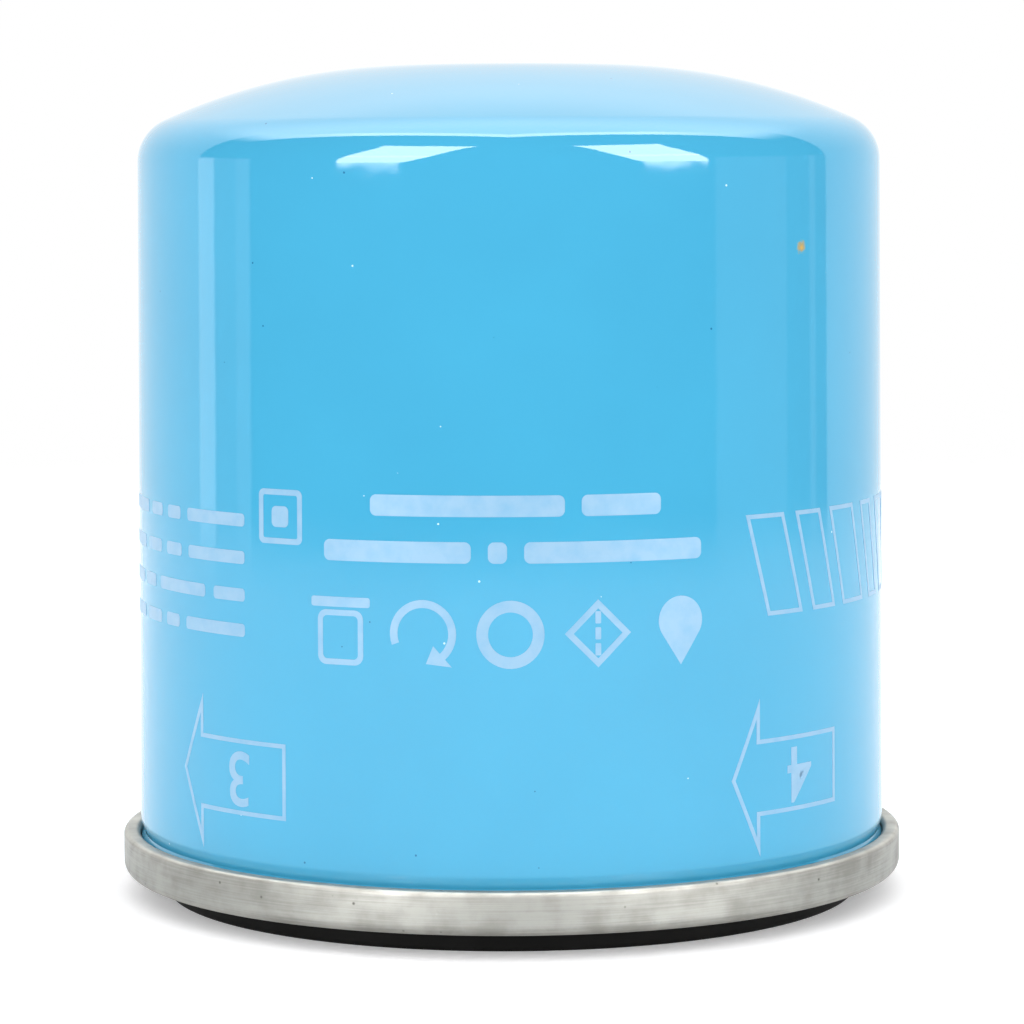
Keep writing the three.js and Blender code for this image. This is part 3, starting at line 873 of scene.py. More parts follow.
@dataclass
class SeamedLid:
    """The gasket retainer, whose rolled edge is the seam, and the compound in the seam."""

    sheet: float = 0.5
    cover_hook: float = 38.43
    hook_tip: float = 4.06
    crest: float = 6.25  # middle of the sheet over the body hook
    crease: float = 0.5  # fillet of the two corners that the seaming roll leaves on top
    wall: float = 39.59
    corner: float = 0.8
    seam_floor: float = 3.3
    chuck: float = 37.27
    channel_corner: float = 0.55
    panel: float = 5.35
    channel: float = 30.65
    lip_fold: Point = (30.1, 2.8)
    inner: float = 24.49
    shelf: float = 34.0  # radius in the middle of the level sheet over the gasket
    bead_inner: float = 38.8
    bead_outer: float = 39.22
    bead_low: float = 5.35
    bead_high: float = 5.75
    sides: int = 320

    def build(self) -> None:
        """Turns the retainer and the sealant."""
        small, top = self.channel_corner, self.crest + self.sheet / 2
        floor = self.seam_floor
        line = [
            (self.cover_hook, self.hook_tip),
            (self.cover_hook, self.crest),
            (self.wall, self.crest),
            (self.wall, (self.crest + floor) / 2),
            *arc((self.wall - self.corner, floor), self.corner, 0, -90),
            *arc((self.chuck + self.corner, floor), self.corner, -90, -180),
            *arc((self.chuck - small, self.panel - small), small, 0, 90),
            (self.shelf, self.panel),
            *arc((self.channel + small, self.panel - small), small, 90, 180),
            *arc(self.lip_fold, small, 0, -180),
            *arc((self.lip_fold[0] - 2 * small, self.panel - small), small, 0, 90),
            (self.inner, self.panel),
        ]
        flat = sheet(line, self.sheet)
        outline = rounded([(r, z, self.crease if z > top - 0.01 else 0) for r, z in flat])
        piece = settle(turned(outline, self.sides), "gasket_retainer")
        fit(piece, Body.ROOT, Slot.ZINC_STEEL, ZINC, "gasket_retainer")
        bead = rounded([
            (self.bead_inner, self.bead_low, 0.1),
            (self.bead_outer, self.bead_low, 0.1),
            (self.bead_outer, self.bead_high, 0.18),
            (self.bead_inner, self.bead_high, 0.18),
        ])
        compound = settle(turned(bead, 192), "seam_sealant")
        fit(compound, Body.ROOT, Slot.SEAM_SEALANT, SEALANT, "seam_sealant")


@dataclass
class SealingGasket:
    """The square-section ring in the retainer's channel, with its edges broken."""

    inner: float = 31.0
    outer: float = 35.5
    height: float = 5.0
    edge: float = 0.45
    parting: float = 0.05  # how far the mould's parting line stands out
    parting_half: float = 0.06
    sides: int = 320

    def build(self) -> None:
        """Turns the ring."""
        e, flat, half = self.edge, self.height, self.parting_half
        corners = [
            (self.inner, 0, e),
            (self.outer, 0, e),
            (self.outer, flat / 2 - half, 0),
            (self.outer + self.parting, flat / 2, 0.04),
            (self.outer, flat / 2 + half, 0),
            (self.outer, flat, e),
            (self.inner, flat, e),
        ]
        piece = settle(turned(rounded(corners), self.sides), "gasket")
        fit(piece, Body.ROOT, Slot.NITRILE, NITRILE, "gasket")


@dataclass
class TappingPlate:
    """The thick plate with its drawn, threaded hub and its ring of inlet holes."""

    minor: float = 9.19
    major: float = 10.0
    pitch: float = 1.5
    chamfer: float = 1.2
    under: float = 4.9
    flange: float = 5.7
    thickness: float = 3.0
    boss: float = 22.49
    slope: float = 1.2
    radius: float = 35.0
    hub: float = 12.59
    top: float = 13.5
    inlets: int = 8
    inlet_radius: float = 3.0
    inlet_circle: float = 17.99
    flank: float = 1.33  # how steeply a groove's side climbs, for each half pitch
    root_flat: float = 0.17
    bore_steps: int = 92
    sides: int = 192

    def thread(self, turn: float, radius: float, height: float) -> float:
        """The bore's radius, with a right-hand 60 degree thread cut into it.

        Args:
            turn: The angle round the axis, in radians.
            radius: The plain radius there; outside the bore it stays as it is.
            height: The height.

        Returns:
            The radius with its thread.
        """
        if radius > self.minor + self.chamfer + 0.01:
            return radius
        phase = (height / self.pitch - turn / (2 * math.pi)) % 1
        rise = min(max(abs(phase - 0.5) * 2 * self.flank - self.root_flat, 0), 1)
        return max(radius, self.major - (self.major - self.minor) * rise)

    def build(self) -> None:
        """Turns the plate with its thread and drills the inlets."""
        up, boss_top = self.flange + self.thickness, self.under + self.thickness
        bore = []
        for i in range(self.bore_steps + 1):
            height = self.top + (self.under - self.top) * i / self.bore_steps
            lead = max(0, self.chamfer - (height - self.under))
            bore.append((self.minor + lead, height))
        body = rounded([
            (self.minor + self.chamfer, self.under, 0),
            (self.boss, self.under, 0.8),
            (self.boss + self.slope, self.flange, 0.8),
            (self.radius, self.flange, 0.3),
            (self.radius, up, 0.5),
            (self.boss + 2 * self.slope, up, 0.8),
            (self.boss + self.slope, boss_top, 0.8),
            (self.hub, boss_top, 1.2),
            (self.hub, self.top, 0.35),
            (self.minor, self.top, 0),
        ])
        piece = settle(turned(body[:-1] + bore[:-1], self.sides, self.thread), "tapping_plate")
        low, high, wide = -5.0, 20.0, self.inlet_radius
        drills = []
        for i in range(self.inlets):
            turn = 2 * math.pi * i / self.inlets
            bit = turned([(0, low), (wide, low), (wide, high), (0, high)], 48)
            middle = (self.inlet_circle * math.cos(turn), self.inlet_circle * math.sin(turn), 0)
            bmesh.ops.translate(bit, vec=middle, verts=bit.verts[:])
            drills.append(settle(bit, f"inlet_drill_{i}"))
        drill(piece, drills)
        fit(piece, Body.ROOT, Slot.BARE_STEEL, BARE, "tapping_plate")


@dataclass
class AntiDrainValve:
    """The rubber diaphragm on the hub, whose skirt covers the inlet holes."""

    mouth: float = 10.19
    head: float = 15.19
    head_low: float = 13.6
    head_high: float = 15.6
    collar_inner: float = 12.79
    collar_outer: float = 14.29
    collar_low: float = 9.1
    skirt: float = 1.4
    skirt_root: float = 12.1
    skirt_under: float = 10.7
    knee: float = 22.39
    lip_inner: float = 25.19
    lip: float = 26.89
    lip_level: float = 8.8

    def build(self) -> None:
        """Turns the diaphragm."""
        profile = rounded([
            (self.mouth, self.head_low, 0.3),
            (self.collar_inner, self.head_low, 0.1),
            (self.collar_inner, self.collar_low, 0.3),
            (self.collar_outer, self.collar_low, 0.3),
            (self.collar_outer, self.skirt_under, 0.8),
            (self.knee, self.skirt_under - self.skirt / 3, 2.0),
            (self.lip_inner, self.lip_level, 0.3),
            (self.lip - 0.1, self.lip_level, 0.1),
            (self.lip, self.lip_level + 0.4, 0.15),
            (self.knee + self.skirt, self.skirt_under + self.skirt / 2, 2.5),
            (self.head, self.skirt_root, 0.8),
            (self.head, self.head_high, 0.4),
            (self.mouth, self.head_high, 0.4),
        ])
        piece = settle(turned(profile, 192), "anti_drain_valve")
        fit(piece, Body.ROOT, Slot.SILICONE, SILICONE, "anti_drain_valve")


@dataclass
class HoldDownSpring:
    """The four-armed leaf spring between the element and the crown."""

    sheet: float = 0.8
    hub: float = 9.0
    hole: float = 3.0
    arms: int = 4
    arm_width: float = 9.0
    foot: float = 26.0
    toe: float = 2.5
    high: float = 83.0  # middle of the sheet at the hub
    low: float = 72.5  # middle of the sheet at the feet
    upturn: float = 0.4  # how far each foot's tip turns up
    fold_pitch: float = 0.9  # width of the strips that the arms are bent in
    room: float = 11.3  # between the element and the crown
    lift: float = 1.5  # how far the element rises

    def level(self, radius: float) -> float:
        """The height of the sheet's middle, which falls in an easy curve along each arm.

        Args:
            radius: The distance from the axis.

        Returns:
            The height.
        """
        if radius <= self.hub:
            return self.high
        if radius >= self.foot:
            return self.low + self.upturn * (radius - self.foot) / self.toe
        drop = self.high - self.low
        heights = (self.high, self.high - drop / 8, self.low + drop / 6, self.low)
        t = (radius - self.hub) / (self.foot - self.hub)
        shares = ((1 - t) ** 3, 3 * (1 - t) ** 2 * t, 3 * (1 - t) * t**2, t**3)
        return sum(share * height for share, height in zip(shares, heights))

    def outline(self) -> Outline:
        """The blank in plan: a disc with four rounded arms.

        Returns:
            The outline's points.
        """
        half = self.arm_width / 2
        tip = self.foot + self.toe
        root = math.sqrt((self.hub + 1.2) ** 2 - half**2)
        corners = []
        for i in range(self.arms):
            turn = 2 * math.pi * (i + 0.5) / self.arms
            arm = [(root, -half, 1.2), (tip, -half, 2.2), (tip, half, 2.2), (root, half, 1.2)]
            for along, aside, size in arm:
                x = along * math.cos(turn) - aside * math.sin(turn)
                y = along * math.sin(turn) + aside * math.cos(turn)
                corners.append((x, y, size))
        return rounded(corners)

    def build(self) -> None:
        """Cuts, scores and bends the blank."""
        blank = filled([self.outline(), arc((0, 0), self.hole, 0, 360, 10)[:-1]])
        for i in range(self.arms // 2):  # opposite arms share their cuts
            turn = 2 * math.pi * (i + 0.5) / self.arms
            scored(blank, self.fold_pitch, Vector((math.cos(turn), math.sin(turn), 0)))
        half = self.sheet / 2
        flat = 0.6  # how far the level middle runs on between the arms

        def bend(x: float, y: float, w: float) -> Vector:
            """Drops each arm along its own length.

            Args:
                x: The point's first coordinate in plan.
                y: Its second.
                w: Its height over the middle of the sheet.

            Returns:
                The point's place on the spring.
            """
            turn = math.atan2(y, x)
            step = 2 * math.pi / self.arms
            nearest = (math.floor(turn / step) + 0.5) * step
            reach = x * math.cos(nearest) + y * math.sin(nearest)
            if math.hypot(x, y) < self.hub + flat:
                return Vector((x, y, self.high + w))
            return Vector((x, y, self.level(max(reach, self.hub)) + w))

        piece = settle(pressed(blank, -half, half, bend), "pressure_spring")
        fit(piece, Body.ROOT, Slot.SPRING_STEEL, SPRING, "pressure_spring")
        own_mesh(piece)


# ---- the element ----
@dataclass
class FilterElement:
    """Pleated paper between two end caps, round a perforated tube."""

    cap_radius: float = 31.8
    cap_sheet: float = 0.4
    cap_bend: float = 0.8
    cap_rim: float = 3.6
    lower_cap: float = 15.7
    upper_cap: float = 71.6
    outlet: float = 11.19
    bypass: float = 6.5
    potting: float = 1.5
    paper_low: float = 17.8
    paper_high: float = 69.9
    paper_inner: float = 15.0
    paper_outer: float = 30.5
    paper: float = 0.5
    pleats: int = 32
    fold_share: float = 0.25
    tube: float = 14.0
    tube_wall: float = 0.4
    hole: float = 2.1
    holes_round: int = 6
    hole_rows: int = 5
    clip_depth: float = 5.0
    clip_sheet: float = 0.4
    gap: float = 0.1  # between pieces that rest on each other
    butt: float = 0.04  # half the gap in the tube's seam
    roll_pitch: float = 1.4  # width of the strips that the tube is rolled in
    sides: int = 192

    def build(self) -> None:
        """Makes the caps, the potting, the paper, its clip and the tube."""
        self.cap("lower_end_cap", self.lower_cap, 1, self.outlet)
        self.cap("upper_end_cap", self.upper_cap, -1, self.bypass)
        self.pot("lower_potting", self.lower_cap + self.cap_sheet + self.gap)
        self.pot("upper_potting", self.upper_cap - self.gap - self.potting)
        self.pleat()
        self.clip()
        self.perforate()

    def cap(self, name: str, under: float, way: int, hole: float) -> None:
        """Presses one end cap, a level ring with its rim turned up or down.

        Args:
            name: The piece's name.
            under: The level of its underside.
            way: 1 where the rim points up, -1 where it points down.
            hole: The radius of its hole.
        """
        middle = under + self.cap_sheet / 2
        wall = self.cap_radius - self.cap_sheet / 2
        line = rounded([
            (hole, middle, 0),
            (wall, middle, self.cap_bend),
            (wall, middle + way * self.cap_rim, 0),
        ], False)
        piece = settle(turned(sheet(line, self.cap_sheet), self.sides), name)
        fit(piece, Body.ELEMENT, Slot.ZINC_STEEL, ZINC, name)

    def pot(self, name: str, low: float) -> None:
        """Pours one ring of potting, with its edges rounded.

        Args:
            name: The piece's name.
            low: The level of its underside.
        """
        inner, outer = self.tube + 0.2, self.cap_radius - self.cap_sheet - self.cap_bend
        high = low + self.potting
        corners = [(inner, low, 0.2), (outer, low, 0.5), (outer, high, 0.3), (inner, high, 0.3)]
        piece = settle(turned(rounded(corners), self.sides), name)
        fit(piece, Body.ELEMENT, Slot.PLASTISOL, PLASTISOL, name)

    def pleat(self) -> None:
        """Folds one strip to and fro, its two ends meeting at the clip."""
        step = 2 * math.pi / self.pleats
        outer_half, inner_half = self.fold_share * step / 2, self.fold_share * step
        soft_folds = 50.0  # degrees; folds that bend by less look rounded
        corners = []

        def spot(radius: float, turn: float, size: float) -> None:
            """Adds a corner of the folded strip."""
            corners.append((radius * math.cos(turn), radius * math.sin(turn), size))

        spot(self.paper_outer, outer_half, 0)
        for i in range(self.pleats):
            middle, end = (i + 0.5) * step, (i + 1) * step
            spot(self.paper_inner, middle - inner_half, 0.45)
            spot(self.paper_inner, middle + inner_half, 0.45)
            last = i == self.pleats - 1
            spot(self.paper_outer, end - outer_half, 0 if last else 0.6)
            if not last:
                spot(self.paper_outer, end + outer_half, 0.6)
        strip = filled([sheet(rounded(corners, False), self.paper)])
        paper = pressed(strip, self.paper_low, self.paper_high, upright)
        piece = settle(paper, "pleated_paper", soft_folds)
        fit(piece, Body.ELEMENT, Slot.RESIN_PAPER, PAPER, "pleated_paper")

    def clip(self) -> None:
        """Crimps a channel over the two ends of the paper."""
        ends = self.paper_outer * math.pi * self.fold_share / self.pleats
        half = ends + self.paper / 2 + self.gap + self.clip_sheet / 2
        back = self.paper_outer + 0.3
        front = back - self.clip_depth
        corners = [(front, half, 0), (back, half, 0.3), (back, -half, 0.3), (front, -half, 0)]
        strip = filled([sheet(rounded(corners, False), self.clip_sheet)])
        channel = pressed(strip, self.paper_low, self.paper_high, upright)
        piece = settle(channel, "paper_seam_clip")
        fit(piece, Body.ELEMENT, Slot.ZINC_STEEL, ZINC, "paper_seam_clip")

    def perforate(self) -> None:
        """Punches a flat sheet and rolls it into the centre tube, butted at its seam."""
        middle = self.tube - self.tube_wall / 2
        girth = 2 * math.pi * middle
        low, high = self.lower_cap + self.cap_sheet + self.gap, self.upper_cap - self.gap
        left, right = self.butt, girth - self.butt
        loops = [[(left, low), (right, low), (right, high), (left, high)]]
        span = self.paper_high - self.paper_low
        for row in range(self.hole_rows):
            for i in range(self.holes_round):
                u = girth * ((i + 0.25 + (row % 2) / 2) % self.holes_round) / self.holes_round
                v = self.paper_low + span * (row + 0.5) / self.hole_rows
                loops.append(arc((u, v), self.hole, 0, 360, 12)[:-1])
        punched = scored(filled(loops), self.roll_pitch, Vector((1, 0, 0)))

        def roll(u: float, v: float, w: float) -> Vector:
            """Rolls the sheet round the axis."""
            turn = u / middle
            return Vector(((middle + w) * math.cos(turn), (middle + w) * math.sin(turn), v))

        half = self.tube_wall / 2
        piece = settle(pressed(punched, -half, half, roll), "centre_tube")
        fit(piece, Body.ELEMENT, Slot.ZINC_STEEL, ZINC, "centre_tube")


@dataclass
class BypassValve:
    """The relief valve under the upper end cap: seat, cage, poppet, seal, washer and coil."""

    opening: float = 6.5
    seat_radius: float = 12.9
    seat_under: float = 70.8
    seat_height: float = 0.7
    cage_top: float = 70.7
    cage_floor: float = 53.7
    cage_radius: float = 10.8
    cage_sheet: float = 0.4
    window: float = 8.0
    poppet: float = 8.6
    poppet_under: float = 68.8
    poppet_top: float = 69.5
    stem: float = 1.5
    stem_low: float = 52.7
    rivet: float = 2.6
    rivet_under: float = 71.25
    rivet_top: float = 72.05
    seal_low: float = 69.55
    seal_top: float = 70.75
    washer: float = 4.4
    washer_low: float = 70.8
    washer_top: float = 71.2
    coil: float = 6.0
    wire: float = 0.55
    coil_low: float = 54.75
    coil_high: float = 68.15
    turns: int = 6
    closing: float = 0.35  # how far the coil's ends close up, from 0 to 1
    steps: int = 32  # along one turn
    room: float = 14.7  # between the cage's floor and the poppet
    travel: float = 3.0  # how far the poppet drops
    gap: float = 0.1
    sides: int = 128

    def build(self) -> None:
        """Makes the six pieces."""
        stem_hole = self.stem + self.gap
        seat = self.ring("bypass_seat", self.opening, self.seat_radius, self.seat_under,
                         self.seat_under + self.seat_height)
        fit(seat, Body.ELEMENT, Slot.BARE_STEEL, BARE, "bypass_seat")
        self.cage()
        self.plunger()
        seal = self.ring("bypass_seal", stem_hole, self.poppet - self.gap, self.seal_low,
                         self.seal_top)
        fit(seal, Body.POPPET, Slot.NITRILE, NITRILE, "bypass_seal")
        washer = self.ring("bypass_washer", stem_hole, self.washer, self.washer_low,
                           self.washer_top)
        fit(washer, Body.POPPET, Slot.ZINC_STEEL, ZINC, "bypass_washer")
        self.wind()

    def ring(
        self, name: str, inner: float, outer: float, low: float, high: float
    ) -> bpy.types.Object:
        """Makes one flat ring with its edges eased.

        Args:
            name: The piece's name.
            inner: The radius of its hole.
            outer: Its own radius.
            low: The level of its underside.
            high: The level of its top.

        Returns:
            The ring.
        """
        ease = (high - low) / 5
        corners = [(inner, low, ease), (outer, low, ease), (outer, high, ease), (inner, high, ease)]
        return settle(turned(rounded(corners), self.sides), name)

    def cage(self) -> None:
        """Draws the cage and cuts its windows."""
        half = self.cage_sheet / 2
        line = rounded([
            (self.seat_radius, self.cage_top - half, 0),
            (self.cage_radius - half, self.cage_top - half, 0.5),
            (self.cage_radius - half, self.cage_floor + half, 0.9),
            (self.stem + 0.4, self.cage_floor + half, 0),
        ], False)
        piece = settle(turned(sheet(line, self.cage_sheet), self.sides), "bypass_cage")
        middle = (self.cage_top + self.cage_floor) / 2
        tall = (self.cage_top - self.cage_floor) / 4
        wide, long, size = self.window / 2, 20.0, 1.2
        spots = ((-wide, -tall), (wide, -tall), (wide, tall), (-wide, tall))
        outline = rounded([(*spot, size) for spot in spots])

        def lengthwise(x: float, y: float, w: float) -> Vector:
            """Lays a cutter across the cage from front to back."""
            return Vector((x, w, y + middle))

        def crosswise(x: float, y: float, w: float) -> Vector:
            """Lays a cutter across the cage from side to side."""
            return Vector((w, x, y + middle))

        cutters = []
        for i, through in enumerate((lengthwise, crosswise)):
            window = pressed(filled([outline]), -long, long, through)
            cutters.append(settle(window, f"window_cutter_{i}"))
        drill(piece, cutters)
        fit(piece, Body.ELEMENT, Slot.BARE_STEEL, BARE, "bypass_cage")

    def plunger(self) -> None:
        """Turns the poppet with its stem and rivet head."""
        profile = rounded([
            (0, self.stem_low, 0),
            (self.stem, self.stem_low, 0.4),
            (self.stem, self.poppet_under, 0.3),
            (self.poppet, self.poppet_under, 0.15),
            (self.poppet, self.poppet_top, 0.15),
            (self.stem, self.poppet_top, 0),
            (self.stem, self.rivet_under, 0),
            (self.rivet, self.rivet_under, 0.15),
            (self.rivet - 0.4, self.rivet_top, 0.3),
            (0, self.rivet_top, 0),
        ])
        piece = settle(turned(profile, 96), "bypass_poppet")
        fit(piece, Body.POPPET, Slot.BARE_STEEL, BARE, "bypass_poppet")

    def wind(self) -> None:
        """Winds the coil, closing up at both ends."""
        line = []
        steps = self.turns * self.steps
        for i in range(steps + 1):
            t = i / steps
            share = self.closing * t * t * (3 - 2 * t) + (1 - self.closing) * t
            turn = 2 * math.pi * self.turns * t
            height = self.coil_low + (self.coil_high - self.coil_low) * share
            line.append(Vector((self.coil * math.cos(turn), self.coil * math.sin(turn), height)))
        piece = settle(swept(line, self.wire), "bypass_spring")
        fit(piece, Body.ELEMENT, Slot.SPRING_STEEL, SPRING, "bypass_spring")
        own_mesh(piece)


# ---- the print ----
@dataclass
class CanPrint:
    """Screen print round the can: four index arrows, generic pictograms and plain bars."""

    can: DrawnCan
    film: float = 0.035
    sunk: float = 0.03
    line: float = 0.42
    arrow_bearings: tuple[float, ...] = (-57.0, 33.4, 123.4, -146.6)
    arrow_numbers: tuple[str, ...] = ("3", "4", "1", "2")
    arrow_middle: float = 15.6
    arrow_length: float = 15.1
    head_length: float = 3.5
    head_half: float = 7.6
    shaft_half: float = 3.68
    number_height: float = 5.4
    number_back: float = 9.05  # from the arrow's tip to the number's middle
    number_drop: float = 0.2
    number_weight: float = 0.006  # how much bolder than the plain typeface
    wrap_pitch: float = 0.9  # width of the strips that a blank is wrapped round the can in

    @property
    def per_mm(self) -> float:
        """The degrees round the can that one millimetre takes."""
        return math.degrees(1 / self.can.foot_radius)

    def lay(self, form: bmesh.types.BMesh, name: str, bearing: float, height: float) -> None:
        """Wraps a flat blank of ink round the can.

        Args:
            form: The blank; its own middle goes to the place named.
            name: The piece's name.
            bearing: The bearing of its middle.
            height: The height of its middle.
        """
        base = self.can.foot_radius
        scored(form, self.wrap_pitch, Vector((1, 0, 0)))

        def wrap(u: float, v: float, w: float) -> Vector:
            """Puts a point of the blank on the wall.

            Args:
                u: The point's place along the wall.
                v: Its height over the blank's middle.
                w: Its height over the enamel.

            Returns:
                The point's place.
            """
            turn = math.radians(bearing) + u / base
            radius = self.can.wall_radius(height + v) + w
            return Vector((radius * math.sin(turn), -radius * math.cos(turn), height + v))

        piece = settle(pressed(form, -self.sunk, self.film, wrap), name)
        fit(piece, Body.ROOT, Slot.BLUE_ENAMEL, INK)

    def outlined(self, outline: Outline) -> list[Outline]:
        """An outline and itself drawn again inside, which leaves one printed line."""
        return [outline, inset(outline, self.line)]

    def arrows(self) -> None:
        """Prints the four index arrows, each with its number upside down."""
        neck, tail = self.head_length, self.arrow_length
        head, shaft = self.head_half, self.shaft_half
        tip = (0.0, 0.0)
        upper = [(neck, -head), (neck, -shaft), (tail, -shaft)]
        shape = [tip, *upper, *[(x, -y) for x, y in reversed(upper)]]
        back = math.degrees(self.number_back / self.can.foot_radius)
        level = self.arrow_middle - self.number_drop
        for bearing, number in zip(self.arrow_bearings, self.arrow_numbers):
            arrow = filled(self.outlined(shape))
            self.lay(arrow, f"index_arrow_{number}", bearing, self.arrow_middle)
            self.lay(self.numeral(number), f"index_number_{number}", bearing + back, level)

    def numeral(self, number: str) -> bmesh.types.BMesh:
        """A bold number in plan, upside down, its middle at the origin.

        Args:
            number: The number.

        Returns:
            The blank.
        """
        curve = bpy.data.curves.new("numeral", "FONT")
        curve.body, curve.offset, curve.resolution_u = number, self.number_weight, 6
        holder = bpy.data.objects.new("numeral", curve)
        bpy.context.scene.collection.objects.link(holder)
        bpy.context.view_layer.update()
        seen = holder.evaluated_get(bpy.context.evaluated_depsgraph_get())
        mesh = bpy.data.meshes.new_from_object(seen)
        bpy.data.objects.remove(holder)
        form = bmesh.new()
        form.from_mesh(mesh)
        bmesh.ops.remove_doubles(form, verts=form.verts[:], dist=1e-5)
        xs, ys = [v.co.x for v in form.verts], [v.co.y for v in form.verts]
        grow = self.number_height / (max(ys) - min(ys))
        x0, y0 = (max(xs) + min(xs)) / 2, (max(ys) + min(ys)) / 2
        for v in form.verts:
            v.co = Vector((-(v.co.x - x0) * grow, -(v.co.y - y0) * grow, 0))
        return form

    def bar(self, name: str, bearing: float, height: float, width: float, tall: float) -> None:
        """Prints one plain bar with rounded ends, where a word would stand."""
        self.lay(filled([self.block(width, tall, tall * 0.3)]), name, bearing, height)

    def row(
        self, name: str, start: float, height: float, tall: float, words: Iterable[float]
    ) -> None:
        """Prints a row of bars from a bearing towards smaller ones, so it reads upside down.

        Args:
            name: The start of each bar's name.
            start: The bearing of the first bar's outer end.
            height: The height of the bars' middle.
            tall: How tall the bars are.
            words: The length of each bar.
        """
        bearing = start
        space = 1.1 + tall * 0.25
        for i, width in enumerate(words):
            self.bar(f"{name}_bar_{i}", bearing - width / 2 * self.per_mm, height, width, tall)
            bearing -= (width + space) * self.per_mm

    def block(self, width: float, height: float, corner: float) -> Outline:
        """A rectangle about the origin with rounded corners."""
        x, y = width / 2, height / 2
        return rounded([(-x, -y, corner), (x, -y, corner), (x, y, corner), (-x, y, corner)])

    def moved(self, outline: Outline, aside: float, up: float) -> Outline:
        """An outline moved in plan."""
        return [(x + aside, y + up) for x, y in outline]

    def turning_arrow(self, size: float, width: float) -> Outline:
        """The outline of an arrow that goes three quarters round, its head at the end.

        Args:
            size: The arrow's outer radius.
            width: The width of its shaft.

        Returns:
            The outline's points.
        """
        start, end, head = 200.0, -48.0, 0.95
        tip = end - 36
        corners = [(size + head, end), (size - width / 2, tip), (size - width - head, end)]
        point = [arc((0, 0), radius, turn, turn)[0] for radius, turn in corners]
        outer = arc((0, 0), size, start, end, 8)
        return outer + point + arc((0, 0), size - width, end, start, 8)

    def pictograms(self) -> None:
        """Prints the large row, all generic and upside down: drop, filter, ring, turn and can."""
        size, middle, space = 3.2, 30.5, 8.3
        pitch = math.degrees(space / self.can.foot_radius)
        circle = arc((0, 0), size, 0, 360, 8)[:-1]
        diamond = [(0, -size), (size, 0), (0, size), (-size, 0)]
        dashes = [self.moved(self.block(0.55, 1.15, 0.1), 0, up) for up in (-1.5, 0, 1.5)]
        can = self.moved(self.block(4.8, 5.2, 0.9), 0, -0.6)
        hollow = self.moved(self.block(3.7, 4.1, 0.45), 0, -0.6)
        foot = self.moved(self.block(6.2, 0.95, 0.25), 0, 2.75)
        signs = {
            "drop": [arc((0, 0.9), 2.3, -28, 208, 8) + [(0, -3.3)]],
            "filter": [diamond, inset(diamond, 0.6), *dashes],
            "ring": [circle, inset(circle, 1.1)],
            "turn": [self.turning_arrow(size, 0.75)],
            "can": [can, hollow, foot],
        }
        for i, (name, loops) in enumerate(signs.items()):
            self.lay(filled(loops), f"pictogram_{name}", (2 - i) * pitch, middle)

    def emblem(self) -> None:
        """Prints the large row on the right: plain slanted blocks in outline."""
        half, lean = 4.9, 1.4  # half a block's height, and how far its top and foot lean
        start, level, space = 42.0, 36.0, 6.2
        for i, width in enumerate((5.0, 4.0, 5.0, 3.2, 5.0, 4.0)):
            w = width / 2
            slanted = [(lean - w, -half), (lean + w, -half), (w - lean, half), (-w - lean, half)]
            bearing = start + i * space * self.per_mm
            self.lay(filled(self.outlined(slanted)), f"emblem_block_{i}", bearing, level)

    def build(self) -> None:
        """Prints everything."""
        self.arrows()
        self.pictograms()
        self.row("second_row", 28.3, 38.15, 2.0, (17.5, 1.8, 14.6))
        self.row("third_row", 21.9, 42.5, 2.0, (7.8, 18.6))
        small_lines = (
            (29.8, (9.5, 3.0, 4.5, 6.0)),
            (33.2, (4.6, 9.6, 3.4, 7.0)),
            (36.8, (9.0, 3.4, 4.2, 8.0)),
            (40.4, (9.2, 2.9, 3.2, 9.0)),
        )
        for i, (height, words) in enumerate(small_lines):
            self.row(f"small_line_{i}", -42.0, height, 1.25, words)
        self.emblem()
        mark = [self.block(5.2, 5.2, 0.6), self.block(4.1, 4.1, 0.2), self.block(2.0, 2.0, 0.5)]
        self.lay(filled(mark), "plain_mark", -35.1, 41.0)


